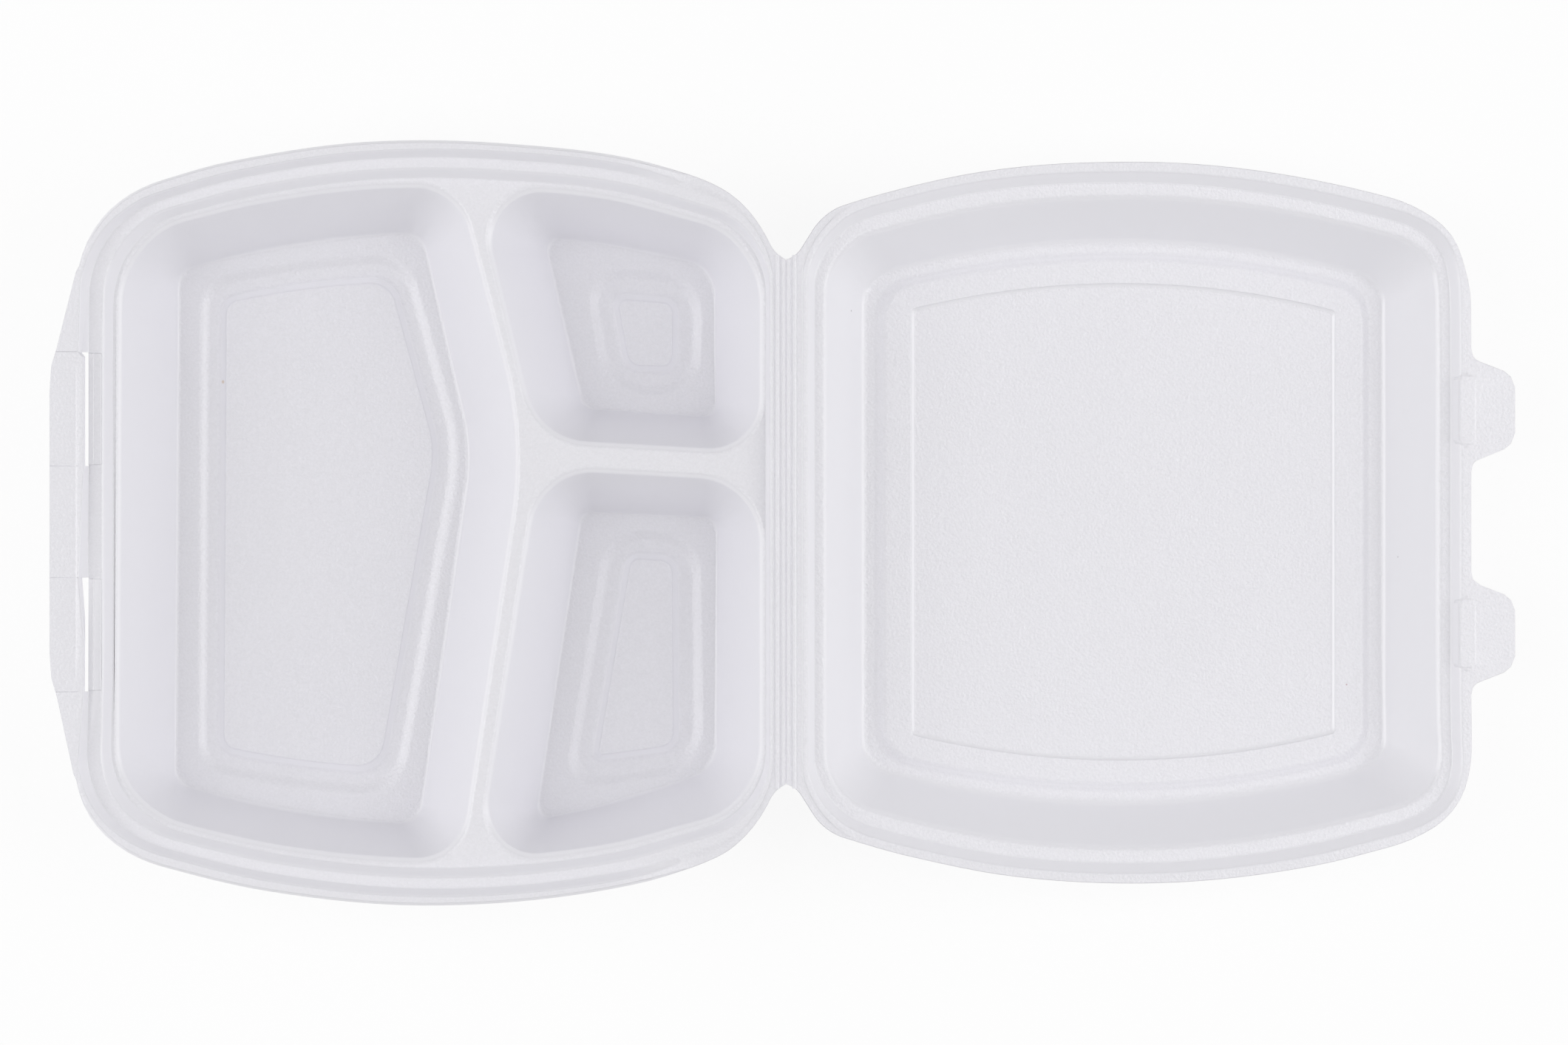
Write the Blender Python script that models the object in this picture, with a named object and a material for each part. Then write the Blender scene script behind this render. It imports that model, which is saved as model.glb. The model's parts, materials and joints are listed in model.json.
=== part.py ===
"""Foam clamshell takeaway container with three compartments, shown fully open.

One moulded sheet of foam makes both halves. The base tray stands on the table, and the lid hangs
from the ribbed fold and rests on its own outer corner. X runs from the front of the tray to the
tabs of the lid, Y along the fold, Z up. Inside this file the fold is at X = 0 until the last step
moves the whole object over its footprint.
"""

import math

import bmesh
import bpy

MM = 0.001

# The sheet and the heights
SHEET = 2.0 * MM
RIM_HEIGHT = 48.0 * MM
LIP_LIFT = 4.7 * MM
FLANGE_DROOP = 0.9 * MM
DECK_DROP = 4.5 * MM
FOOT_DEPTH = 2.0 * MM
PANEL_RISE = 0.5 * MM
LID_STEP = 4.0 * MM
LID_DEPTH = 25.0 * MM
LID_MARGIN_RISE = 1.2 * MM
LID_PANEL_DROP = 0.8 * MM

# The long sides bulge: the crown is where both halves are widest, and SIDE_FALL is how much
# narrower the tray is on each side at its front corners
BASE_FRONT = 222.7 * MM
BASE_HALF_WIDTH = 119.9 * MM
SIDE_FALL = 20.2 * MM
CROWN_SHARE = 0.496
CROWN = BASE_FRONT * CROWN_SHARE
SIDE_ARC = (BASE_FRONT - CROWN) ** 2 / (2 * SIDE_FALL)

# The fold between the halves
FOLD_GAP = 0.3 * MM
FOLD_UNDERCUT = 0.6 * MM
FOLD_SETBACK = 37.5 * MM
FOLD_HALF_LENGTH = BASE_HALF_WIDTH - FOLD_SETBACK
TABLE_CLEARANCE = 0.3 * MM
GROOVE_HALF_WIDTH = 0.28 * MM
GROOVE_DEPTH = 0.5 * MM
GROOVE_OVERRUN = 3.0 * MM
BASE_GROOVES = (1.5 * MM, 3.7 * MM)
LID_GROOVES = (1.9 * MM, 4.0 * MM)

# Outer edge of the tray: rounding reaches, the shoulder beside the fold and the notch at its end
BASE_FRONT_REACH = 27.0 * MM
BASE_SHOULDER = 24.0 * MM
BASE_SHOULDER_SHARE = 0.987
BASE_SHOULDER_REACH = 8.0 * MM
BASE_SHOULDER_ARC = 39.5 * MM
BASE_NOTCH = 4.0 * MM
BASE_NOTCH_RUN = 2.5 * MM
NOTCH_REACH = 2.6 * MM

# Inner edge of the raised flange of the tray
LIP_BACK = 1.7 * MM
LIP_FRONT = BASE_FRONT - 0.9 * MM
LIP_HALF_WIDTH = BASE_HALF_WIDTH - 3.8 * MM
LIP_BACK_REACH = 24.0 * MM
LIP_FRONT_REACH = 26.5 * MM

# Outer edge of the ledge that carries the closed lid
LEDGE_BACK = 3.1 * MM
LEDGE_FRONT = LIP_FRONT - 2.6 * MM
LEDGE_HALF_WIDTH = LIP_HALF_WIDTH - 2.2 * MM
LEDGE_BACK_REACH = 21.0 * MM
LEDGE_FRONT_REACH = 24.8 * MM

# Inner edge of the ledge, where the tray steps down to the divider tops
STEP_BACK = 4.6 * MM
STEP_FRONT = LEDGE_FRONT - 4.8 * MM
STEP_HALF_WIDTH = LEDGE_HALF_WIDTH - 3.6 * MM
STEP_BACK_REACH = 19.0 * MM
STEP_FRONT_REACH = 22.5 * MM
STEP_ROUND_RUN = 0.7 * MM
STEP_ROUND_DROP = 0.7 * MM
STEP_WALL = 2.6 * MM
STEP_WALL_BACK = 1.7 * MM
STEP_BACKING = 0.6 * MM
WALL_BACKING = 1.5 * MM
LEAST_EDGE = 0.35 * MM

# Where the raised flange runs down to the ledge, measured from the fold
RAMP_START = 27.0 * MM
RAMP_END = 56.0 * MM

# The front lip: how far it stands out, and its outline as shares (of that, of the front's width)
LIP_REACH = 8.2 * MM
LIP_SHARES = (
    (0.024, 0.787),
    (0.718, 0.549),
    (0.929, 0.492),
    (1.0, 0.415),
)

# The compartments. Each corner is given in shares: how far it is from the fold towards the step
# at the front, how far from the middle line towards the step at the side, and how far from the
# corner its rounding starts, of half the tray's width at that step.
LARGE_MOUTH_SHARES = (
    (0.980, 0.955, 0.195),
    (0.980, -0.955, 0.195),
    (0.475, -0.959, 0.127),
    (0.382, 0.245, 0.236),
    (0.479, 0.959, 0.127),
)
LARGE_FOOT_SHARES = (
    (0.906, 0.808, 0.045),
    (0.910, -0.848, 0.045),
    (0.546, -0.870, 0.054),
    (0.466, 0.208, 0.109),
    (0.542, 0.837, 0.054),
)
LARGE_RING_SHARES = (
    (0.871, 0.762, 0.082),
    (0.875, -0.781, 0.082),
    (0.575, -0.792, 0.118),
    (0.485, 0.213, 0.118),
    (0.563, 0.774, 0.109),
)
UPPER_MOUTH_SHARES = (
    (0.459, 0.960, 0.190),
    (0.368, 0.230, 0.145),
    (0.035, 0.225, 0.154),
    (0.035, 0.954, 0.181),
)
UPPER_FOOT_SHARES = (
    (0.361, 0.836, 0.045),
    (0.303, 0.336, 0.036),
    (0.105, 0.339, 0.036),
    (0.105, 0.830, 0.082),
)
UPPER_RING_SHARES = (
    (0.303, 0.757, 0.086),
    (0.268, 0.390, 0.086),
    (0.129, 0.406, 0.086),
    (0.126, 0.786, 0.086),
)
LOWER_MOUTH_SHARES = (
    (0.365, 0.162, 0.163),
    (0.455, -0.960, 0.168),
    (0.035, -0.954, 0.172),
    (0.035, 0.147, 0.177),
)
LOWER_FOOT_SHARES = (
    (0.306, 0.032, 0.036),
    (0.374, -0.871, 0.045),
    (0.103, -0.805, 0.073),
    (0.103, 0.015, 0.036),
)
LOWER_RING_SHARES = (
    (0.266, -0.021, 0.082),
    (0.331, -0.788, 0.073),
    (0.126, -0.797, 0.091),
    (0.128, -0.041, 0.091),
)
MOUTH_ARC_SHARE = 0.936
FOOT_ARC_SHARE = 0.891

# Roundings of the compartments, as insets from the outline named above and drops from the level
MOUTH_OUTSET = 0.9 * MM
MOUTH_ROUND_INSET = 0.55 * MM
MOUTH_ROUND_DROP = 0.45 * MM
MOUTH_ROUND_END = 1.7 * MM
CUTTER_TOP = 3.0 * MM
FLOOR_ROUND_OUTSET = 0.9 * MM
FLOOR_ROUND_RISE = 2.0 * MM
FLOOR_ROUND_INSET = 1.1 * MM
CORNER_RISE = 0.35 * MM
RING_SLOPE = 2.6 * MM
RING_FLOOR = 6.2 * MM
PANEL_SLOPE = 9.4 * MM
PANEL_ROUND = 10.3 * MM
PANEL_ROUND_DROP = 0.3 * MM
BACK_SHARE = 0.45

# The lid: its rim lies inside the raised flange of the tray when closed
LID_FRONT_CLEARANCE = 0.8 * MM
LID_SIDE_CLEARANCE = 0.3 * MM
LID_FRONT = LEDGE_FRONT - LID_FRONT_CLEARANCE
LID_HALF_WIDTH = LEDGE_HALF_WIDTH - LID_SIDE_CLEARANCE
LID_FRONT_REACH = 26.0 * MM
LID_SHOULDER = 12.0 * MM
LID_SHOULDER_SHARE = 0.992
LID_SHOULDER_REACH = 6.5 * MM
LID_NOTCH = 3.6 * MM
LID_NOTCH_RUN = 1.5 * MM

# The lid: inner edge of the flange, from which the profile is measured inwards
FLANGE_WIDTH = 3.0 * MM
FLANGE_BACK = 6.1 * MM
FLANGE_FRONT = LID_FRONT - FLANGE_WIDTH
FLANGE_HALF_WIDTH = LID_HALF_WIDTH - FLANGE_WIDTH
FLANGE_REACH = 20.0 * MM
LID_SHOULDER_RUN = 1.0 * MM
LID_SHOULDER_DROP = 0.5 * MM
LID_STEP_RUN = 3.0 * MM
LID_LEDGE_END = 6.2 * MM
LID_LEDGE_ROUND = 7.6 * MM
LID_LEDGE_ROUND_DROP = 0.9 * MM
LID_WALL_END = 20.0 * MM
LID_WALL_ROUND_RISE = 1.8 * MM
LID_MOAT_START = 22.6 * MM
LID_MOAT_END = 25.4 * MM
LID_MARGIN_START = 27.8 * MM
LID_PANEL_START = 36.4 * MM
LID_PANEL_END = 38.2 * MM

# The tabs beyond the lid's rim, and their outline as shares (of the length, of the half width)
TAB_CENTRE = 35.4 * MM
TAB_LENGTH = 14.1 * MM
TAB_HALF_WIDTH = 17.2 * MM
TAB_SHARES = (
    (0.0, 1.136),
    (0.036, 1.0),
    (0.101, 0.937),
    (0.201, 0.892),
    (0.748, 0.722),
    (0.906, 0.614),
    (1.0, 0.415),
)
PAD_HALF_LENGTH = 10.8 * MM
PAD_OUTER = 1.0 * MM
PAD_INNER = 4.6 * MM
PAD_DROP = 0.1 * MM
PAD_DEPTH = 2.2 * MM

# The slots in front of the closed lid, where the tabs pass under the lip
SLOT_CLEARANCE = 0.7 * MM
SLOT_HALF_LENGTH = TAB_HALF_WIDTH + SLOT_CLEARANCE
SLOT_SETBACK = 0.6 * MM
SLOT_INNER = LID_FRONT + SLOT_SETBACK
SLOT_WIDTH = 1.7 * MM
SLOT_HEADROOM = 0.2 * MM
SLOT_OVERCUT = 4.0 * MM

# How finely curves are divided
CORNER_PIECES = 6
ARC_PIECES = 10
SAME_ANGLE = math.radians(0.45)
PARALLEL = 1e-12
LEAST_REACH = 1.0 * MM
REACH_LOSS_SHARE = 0.68

FOAM_COLOUR = (0.84, 0.84, 0.87, 1.0)
FOAM_ROUGHNESS = 0.62


def clear_scene():
    for obj in list(bpy.data.objects):
        bpy.data.objects.remove(obj, do_unlink=True)


def new_collection(name, is_helper):
    made = bpy.data.collections.new(name)
    made.hide_render = is_helper
    bpy.context.scene.collection.children.link(made)
    return made


def foam_material():
    made = bpy.data.materials.new("white_foam")
    made.use_nodes = True
    shader = made.node_tree.nodes["Principled BSDF"]
    shader.inputs["Base Color"].default_value = FOAM_COLOUR
    shader.inputs["Roughness"].default_value = FOAM_ROUGHNESS
    return made


# Outlines. A corner is (x, y, reach): the rounding starts that far from the corner. Each outline
# also has one arc radius per edge, from a corner to the next, and 0 means a straight edge.


def minus(a, b):
    return (a[0] - b[0], a[1] - b[1])


def length(v):
    return math.hypot(v[0], v[1])


def cross(a, b):
    return a[0] * b[1] - a[1] * b[0]


def mixed(a, b, share):
    return tuple(p + (q - p) * share for p, q in zip(a, b))


def arc_control(start, end, radius, turn):
    """Middle control point of the edge: a parabola as flat as the arc, bulging outwards."""
    middle = mixed(start[:2], end[:2], 0.5)
    if radius == 0:
        return middle
    along = minus(end, start)
    bulge = 2 * length(along) ** 2 / (8 * radius) * turn
    return (
        middle[0] + along[1] / length(along) * bulge,
        middle[1] - along[0] / length(along) * bulge,
    )


def on_curve(start, control, end, share):
    return mixed(mixed(start, control, share), mixed(control, end, share), share)


def crossing(a, towards_a, b, towards_b):
    """Where the tangents from a and b meet."""
    first = minus(towards_a, a)
    second = minus(towards_b, b)
    below = cross(first, second)
    if abs(below) < PARALLEL * MM * MM:
        return mixed(a, b, 0.5)
    share = cross(minus(b, a), second) / below
    return (a[0] + first[0] * share, a[1] + first[1] * share)


def corner_arc(before, control_before, after, control_after, pieces):
    """Points of a circular rounding between the ends of two edges."""
    corner = crossing(before, control_before, after, control_after)
    to_before = minus(before, corner)
    to_after = minus(after, corner)
    size = length(to_before) * length(to_after)
    if size == 0:
        return [before, after]
    cosine = (to_before[0] * to_after[0] + to_before[1] * to_after[1]) / size
    weight = math.sqrt(max(0.0, (1 - cosine) / 2))
    points = []
    for i in range(pieces + 1):
        t = i / pieces
        shares = ((1 - t) ** 2, 2 * weight * t * (1 - t), t * t)
        total = sum(shares)
        points.append(
            tuple(
                (shares[0] * before[k] + shares[1] * corner[k] + shares[2] * after[k]) / total
                for k in (0, 1)
            )
        )
    return points


def turning(corners):
    """1 for corners listed anticlockwise, -1 for clockwise."""
    area = sum(cross(a, b) for a, b in zip(corners, corners[1:] + corners[:1]))
    return math.copysign(1, area)


def outline(corners, radii, pieces=CORNER_PIECES, arc_pieces=ARC_PIECES):
    """Closed outline with rounded corners, starting on the first edge's first corner."""
    turn = turning(corners)
    count = len(corners)
    edges = []
    for i in range(count):
        start = corners[i]
        end = corners[(i + 1) % count]
        control = arc_control(start, end, radii[i], turn)
        span = length(minus(end, start))
        first = start[2] / span
        last = 1 - end[2] / span
        edges.append((start[:2], control, end[:2], first, last, radii[i] != 0))
    points = []
    for i in range(count):
        a, b = edges[i - 1], edges[i]
        ends = on_curve(a[0], a[1], a[2], a[4])
        starts = on_curve(b[0], b[1], b[2], b[3])
        if corners[i][2] == 0:
            points.append(corners[i][:2])
        else:
            before = mixed(a[1], a[2], a[4])
            after = mixed(b[0], b[1], b[3])
            points += corner_arc(ends, before, starts, after, pieces)
        if b[5]:
            for k in range(1, arc_pieces):
                share = b[3] + (b[4] - b[3]) * k / arc_pieces
                points.append(on_curve(b[0], b[1], b[2], share))
    return points


def inset(corners, distance):
    """The same corners with every edge moved inwards, and the roundings tighter to match."""
    turn = turning(corners)
    count = len(corners)
    lines = []
    for i in range(count):
        a, b = corners[i], corners[(i + 1) % count]
        along = minus(b, a)
        shift = distance * turn / length(along)
        moved = (-along[1] * shift, along[0] * shift)
        lines.append(((a[0] + moved[0], a[1] + moved[1]), (b[0] + moved[0], b[1] + moved[1])))
    made = []
    for i in range(count):
        before, after = lines[i - 1], lines[i]
        x, y = crossing(before[0], before[1], after[0], after[1])
        reach = max(corners[i][2] - distance * REACH_LOSS_SHARE, LEAST_REACH)
        made.append((x, y, reach))
    return made


def side_place(x, half_width):
    """Distance from the middle line to the bulging long side, at distance x from the fold."""
    return half_width - (x - CROWN) ** 2 / (2 * SIDE_ARC)


def four_corners(back, front, half_width, back_reach, front_reach):
    back_y = side_place(back, half_width)
    front_y = side_place(front, half_width)
    return [
        (front, front_y, front_reach),
        (front, -front_y, front_reach),
        (back, -back_y, back_reach),
        (back, back_y, back_reach),
    ]


def inside_step(shares):
    """Corners of a compartment from their shares of the room inside the tray's step."""
    placed = []
    for along, across, reach in shares:
        x = along * STEP_FRONT
        placed.append((x, across * side_place(x, STEP_HALF_WIDTH), reach * STEP_HALF_WIDTH))
    return placed


def at_base(points):
    """The tray lies on the negative side of the fold."""
    return [(-p[0], *p[1:]) for p in points]


# Rings round a centre: every outline of the rim is cut by the same rays


def ray_angles(outlines, centre):
    angles = sorted(
        math.atan2(p[1] - centre[1], p[0] - centre[0]) for points in outlines for p in points
    )
    kept = [angles[0]]
    for angle in angles[1:]:
        if angle - kept[-1] > SAME_ANGLE:
            kept.append(angle)
    return kept


def on_ray(points, centre, angle):
    direction = (math.cos(angle), math.sin(angle))
    best = None
    for a, b in zip(points, points[1:] + points[:1]):
        a, b = minus(a, centre), minus(b, centre)
        side_a, side_b = cross(direction, a), cross(direction, b)
        if side_a * side_b > 0 or side_a == side_b:
            continue
        share = side_a / (side_a - side_b)
        point = mixed(a, b, share)
        reach = point[0] * direction[0] + point[1] * direction[1]
        if reach > 0 and (best is None or reach > best):
            best = reach
    return (centre[0] + direction[0] * best, centre[1] + direction[1] * best)


def ray_ring(points, centre, angles):
    return [on_ray(points, centre, angle) for angle in angles]


def held_inside(place, limit, centre):
    """The place, or the nearest one on its ray that leaves the edge its least width."""
    out = length(minus(place, centre))
    share = min(out, length(minus(limit, centre)) - LEAST_EDGE) / out
    return mixed(centre, place, share)


def at_level(ring, level):
    return [(p[0], p[1], level) for p in ring]


def loft(name, rings, collection, material=None):
    """Closed mesh through rings of equally many points, with a flat face on the first and last."""
    mesh = bpy.data.meshes.new(name)
    built = bmesh.new()
    rows = [[built.verts.new(p) for p in ring] for ring in rings]
    count = len(rows[0])
    for lower, upper in zip(rows, rows[1:]):
        for i in range(count):
            j = (i + 1) % count
            built.faces.new((lower[i], lower[j], upper[j], upper[i]))
    built.faces.new(rows[0])
    built.faces.new(rows[-1])
    bmesh.ops.recalc_face_normals(built, faces=built.faces)
    if built.calc_volume(signed=True) < 0:
        bmesh.ops.reverse_faces(built, faces=built.faces)
    built.to_mesh(mesh)
    built.free()
    obj = bpy.data.objects.new(name, mesh)
    collection.objects.link(obj)
    if collection.hide_render:
        obj.hide_render = True
        obj.display_type = "WIRE"
    if material:
        mesh.materials.append(material)
    return obj


def box(name, low, high, collection):
    corners = [
        (low[0], low[1]),
        (high[0], low[1]),
        (high[0], high[1]),
        (low[0], high[1]),
    ]
    return loft(name, [at_level(corners, low[2]), at_level(corners, high[2])], collection)


def groove_cutter(name, x, level, collection):
    """A V-shaped cut along the fold. The V is as high above the face as it is deep."""
    end = FOLD_HALF_LENGTH + GROOVE_OVERRUN
    top = level + GROOVE_DEPTH
    spread = GROOVE_HALF_WIDTH + GROOVE_HALF_WIDTH
    section = ((x - spread, top), (x + spread, top), (x, level - GROOVE_DEPTH))
    rings = [[(p[0], y, p[1]) for p in section] for y in (-end, end)]
    return loft(name, rings, collection)


def boolean(obj, operation, other):
    made = obj.modifiers.new(f"{operation.lower()} {other.name}", "BOOLEAN")
    made.operation = operation
    made.solver = "EXACT"
    made.object = other


# The tray


def rise(x):
    """How much of the full lift the raised flange has, at this distance from the fold."""
    share = min(max((x - RAMP_START) / (RAMP_END - RAMP_START), 0), 1)
    return share * share * (3 - 2 * share)


def with_lip(points):
    """The rim outline with its straight front pushed out to the lip."""
    half = side_place(BASE_FRONT, BASE_HALF_WIDTH)
    upper = [(BASE_FRONT + out * LIP_REACH, across * half) for out, across in LIP_SHARES]
    lower = [(x, -y) for x, y in reversed(upper)]
    kept = [p for p in points if not (p[0] > LEDGE_FRONT and abs(p[1]) <= upper[0][1])]
    split = next(i for i, p in enumerate(kept) if p[1] < 0)
    return kept[:split] + upper + lower + kept[split:]


def rim_outline(front_corner, shoulder, shoulder_arc, notch, fold):
    """Outer edge of a half: its front corner, the shoulder and the notch at the fold's end."""
    upper = [(fold, FOLD_HALF_LENGTH, 0), notch, shoulder, front_corner]
    lower = [(x, -y, reach) for x, y, reach in reversed(upper)]
    radii = [SIDE_ARC, shoulder_arc, 0, 0, 0, shoulder_arc, SIDE_ARC, 0]
    points = outline(lower + upper, radii)
    return sorted(points, key=lambda p: -math.atan2(p[1], p[0] - CROWN))


def base_rim(fold):
    shoulder_y = BASE_SHOULDER_SHARE * side_place(BASE_SHOULDER, BASE_HALF_WIDTH)
    points = rim_outline(
        (BASE_FRONT, side_place(BASE_FRONT, BASE_HALF_WIDTH), BASE_FRONT_REACH),
        (BASE_SHOULDER, shoulder_y, BASE_SHOULDER_REACH),
        BASE_SHOULDER_ARC,
        (BASE_NOTCH, FOLD_HALF_LENGTH + BASE_NOTCH_RUN, NOTCH_REACH),
        fold,
    )
    return at_base(with_lip(points))


def base_four(back, front, half_width, back_reach, front_reach):
    corners = four_corners(back, front, half_width, back_reach, front_reach)
    return at_base(outline(corners, (0, SIDE_ARC, 0, SIDE_ARC)))


def base_rings():
    """Rings of the tray's rim, from the divider tops out to the edge and back underneath."""
    lip = base_four(LIP_BACK, LIP_FRONT, LIP_HALF_WIDTH, LIP_BACK_REACH, LIP_FRONT_REACH)
    ledge = base_four(
        LEDGE_BACK, LEDGE_FRONT, LEDGE_HALF_WIDTH, LEDGE_BACK_REACH, LEDGE_FRONT_REACH
    )
    step = base_four(STEP_BACK, STEP_FRONT, STEP_HALF_WIDTH, STEP_BACK_REACH, STEP_FRONT_REACH)
    soft = base_four(
        STEP_BACK + STEP_ROUND_RUN,
        STEP_FRONT - STEP_ROUND_RUN,
        STEP_HALF_WIDTH - STEP_ROUND_RUN,
        STEP_BACK_REACH,
        STEP_FRONT_REACH,
    )
    deck = base_four(
        STEP_BACK + STEP_WALL_BACK,
        STEP_FRONT - STEP_WALL,
        STEP_HALF_WIDTH - STEP_WALL,
        STEP_BACK_REACH,
        STEP_FRONT_REACH,
    )
    lip_under = base_four(
        LIP_BACK,
        LIP_FRONT + WALL_BACKING,
        LIP_HALF_WIDTH + WALL_BACKING,
        LIP_BACK_REACH,
        LIP_FRONT_REACH,
    )
    ledge_under = base_four(
        LEDGE_BACK,
        LEDGE_FRONT + WALL_BACKING,
        LEDGE_HALF_WIDTH + WALL_BACKING,
        LEDGE_BACK_REACH,
        LEDGE_FRONT_REACH,
    )
    step_under = base_four(
        STEP_BACK - STEP_BACKING,
        STEP_FRONT + STEP_BACKING,
        STEP_HALF_WIDTH + STEP_BACKING,
        STEP_BACK_REACH,
        STEP_FRONT_REACH,
    )
    edge = base_rim(FOLD_GAP / 2)
    edge_under = base_rim(FOLD_UNDERCUT)
    centre = (-CROWN, 0)
    angles = ray_angles((edge, step), centre)
    limits = ray_ring(edge_under, centre, angles)

    def ring(points, level, lift, droop):
        made = []
        for place, limit in zip(ray_ring(points, centre, angles), limits):
            x, y = held_inside(place, limit, centre) if points not in (edge, edge_under) else place
            share = rise(-x)
            on_side = min(max((LIP_FRONT + x) / (LIP_FRONT - STEP_FRONT), 0), 1)
            made.append((x, y, level + share * (lift - droop * on_side)))
        return made

    rim = RIM_HEIGHT
    top_deck = rim - DECK_DROP
    under = rim - SHEET
    return [
        ring(deck, top_deck, 0, 0),
        ring(soft, rim - STEP_ROUND_DROP, 0, 0),
        ring(step, rim, 0, 0),
        ring(ledge, rim, 0, 0),
        ring(lip, rim, LIP_LIFT, 0),
        ring(edge, rim, LIP_LIFT, FLANGE_DROOP),
        ring(edge_under, under, LIP_LIFT, FLANGE_DROOP),
        ring(lip_under, under, LIP_LIFT, 0),
        ring(ledge_under, under, 0, 0),
        ring(step_under, under, 0, 0),
        ring(step, top_deck - SHEET, 0, 0),
    ]


def compartment_rings(shares, arcs, is_cutter):
    """Rings down one compartment: the inside as a cutter, or the outside of its foam wall."""
    mouth, foot, ring = (inside_step(rows) for rows in shares)
    back = 0 if is_cutter else SHEET
    half_back = back * BACK_SHARE
    deck = RIM_HEIGHT - DECK_DROP
    floor = SHEET + FOOT_DEPTH
    panel = floor + PANEL_RISE
    mouth_arcs = [SIDE_ARC * MOUTH_ARC_SHARE if bulges else 0 for bulges in arcs]
    foot_arcs = [SIDE_ARC * FOOT_ARC_SHARE if bulges else 0 for bulges in arcs]
    shapes = []
    if is_cutter:
        shapes.append((mouth, -MOUTH_OUTSET, mouth_arcs, deck + CUTTER_TOP))
        shapes.append((mouth, -MOUTH_OUTSET, mouth_arcs, deck))
        shapes.append((mouth, 0, mouth_arcs, deck - MOUTH_ROUND_DROP))
        shapes.append((mouth, MOUTH_ROUND_INSET, mouth_arcs, deck - MOUTH_ROUND_END))
    else:
        shapes.append((mouth, -back, mouth_arcs, deck - SHEET / 2))
        shapes.append((mouth, MOUTH_ROUND_INSET - back, mouth_arcs, deck - MOUTH_ROUND_END))
    shapes += [
        (foot, -FLOOR_ROUND_OUTSET - back, foot_arcs, floor + FLOOR_ROUND_RISE - half_back),
        (foot, -half_back, foot_arcs, floor + CORNER_RISE - back * (1 - BACK_SHARE / 2)),
        (foot, FLOOR_ROUND_INSET - half_back / 2, foot_arcs, floor - back),
        (ring, -half_back, foot_arcs, floor - back),
        (ring, RING_SLOPE - half_back, foot_arcs, SHEET - back),
        (ring, RING_FLOOR + half_back / 2, foot_arcs, SHEET - back),
        (ring, PANEL_SLOPE + half_back / 2, foot_arcs, panel - PANEL_ROUND_DROP - back),
        (ring, PANEL_ROUND + half_back / 2, foot_arcs, panel - back),
    ]
    rings = []
    for corners, distance, radii, level in shapes:
        moved = inset(corners, distance)
        rings.append(at_level(at_base(outline(moved, radii)), level))
    return rings


# Name, corner shares of the mouth, the floor's edge and the channel, and which edges bulge
COMPARTMENTS = (
    (
        "large",
        (LARGE_MOUTH_SHARES, LARGE_FOOT_SHARES, LARGE_RING_SHARES),
        (False, True, False, False, True),
    ),
    (
        "upper",
        (UPPER_MOUTH_SHARES, UPPER_FOOT_SHARES, UPPER_RING_SHARES),
        (False, False, False, True),
    ),
    (
        "lower",
        (LOWER_MOUTH_SHARES, LOWER_FOOT_SHARES, LOWER_RING_SHARES),
        (False, True, False, False),
    ),
)


def slot_section():
    """Section of one slot: a narrow slit open to the top, and room for the tab under the lip."""
    low = RIM_HEIGHT - SLOT_OVERCUT
    under_lip = RIM_HEIGHT + LIP_LIFT - SHEET + SLOT_HEADROOM
    high = RIM_HEIGHT + LIP_LIFT + SLOT_OVERCUT
    outer = SLOT_INNER + SLOT_WIDTH
    undercut = LIP_FRONT + SLOT_OVERCUT
    return (
        (-SLOT_INNER, low),
        (-SLOT_INNER, high),
        (-outer, high),
        (-outer, under_lip),
        (-undercut, under_lip),
        (-undercut, low),
    )


def add_slots(tray, cutters):
    for side, name in ((1, "upper"), (-1, "lower")):
        middle = side * TAB_CENTRE
        ends = (middle - SLOT_HALF_LENGTH, middle + SLOT_HALF_LENGTH)
        rings = [[(x, y, z) for x, z in slot_section()] for y in ends]
        boolean(tray, "DIFFERENCE", loft(f"{name}_slot", rings, cutters))


def build_base(parts, cutters, foam):
    tray = loft("base_tray", base_rings(), parts, foam)
    for name, shares, arcs in COMPARTMENTS:
        outside = compartment_rings(shares, arcs, False)
        boolean(tray, "UNION", loft(f"{name}_wall", outside, cutters))
    for name, shares, arcs in COMPARTMENTS:
        inside = compartment_rings(shares, arcs, True)
        boolean(tray, "DIFFERENCE", loft(f"{name}_hollow", inside, cutters))
    add_slots(tray, cutters)
    for number, x in enumerate(BASE_GROOVES):
        cut = groove_cutter(f"base_groove_{number}", -x, RIM_HEIGHT, cutters)
        boolean(tray, "DIFFERENCE", cut)
    return tray


# The lid, built flat about the axis of the fold and then turned down until it rests


def with_tabs(points):
    """The rim outline with its straight front carrying the two tabs."""
    shape = [(LID_FRONT + out * TAB_LENGTH, half * TAB_HALF_WIDTH) for out, half in TAB_SHARES]
    reach = TAB_CENTRE + shape[0][1]
    kept = [p for p in points if not (p[0] > FLANGE_FRONT and abs(p[1]) <= reach)]
    upper_tab = [(x, TAB_CENTRE + half) for x, half in shape]
    upper_tab += [(x, TAB_CENTRE - half) for x, half in reversed(shape)]
    lower_tab = [(x, -y) for x, y in reversed(upper_tab)]
    split = next(i for i, p in enumerate(kept) if p[1] < 0)
    return kept[:split] + upper_tab + lower_tab + kept[split:]


def lid_rim(fold):
    shoulder_y = LID_SHOULDER_SHARE * side_place(LID_SHOULDER, LID_HALF_WIDTH)
    points = rim_outline(
        (LID_FRONT, side_place(LID_FRONT, LID_HALF_WIDTH), LID_FRONT_REACH),
        (LID_SHOULDER, shoulder_y, LID_SHOULDER_REACH),
        0,
        (LID_NOTCH, FOLD_HALF_LENGTH + LID_NOTCH_RUN, NOTCH_REACH),
        fold,
    )
    return with_tabs(points)


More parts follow.
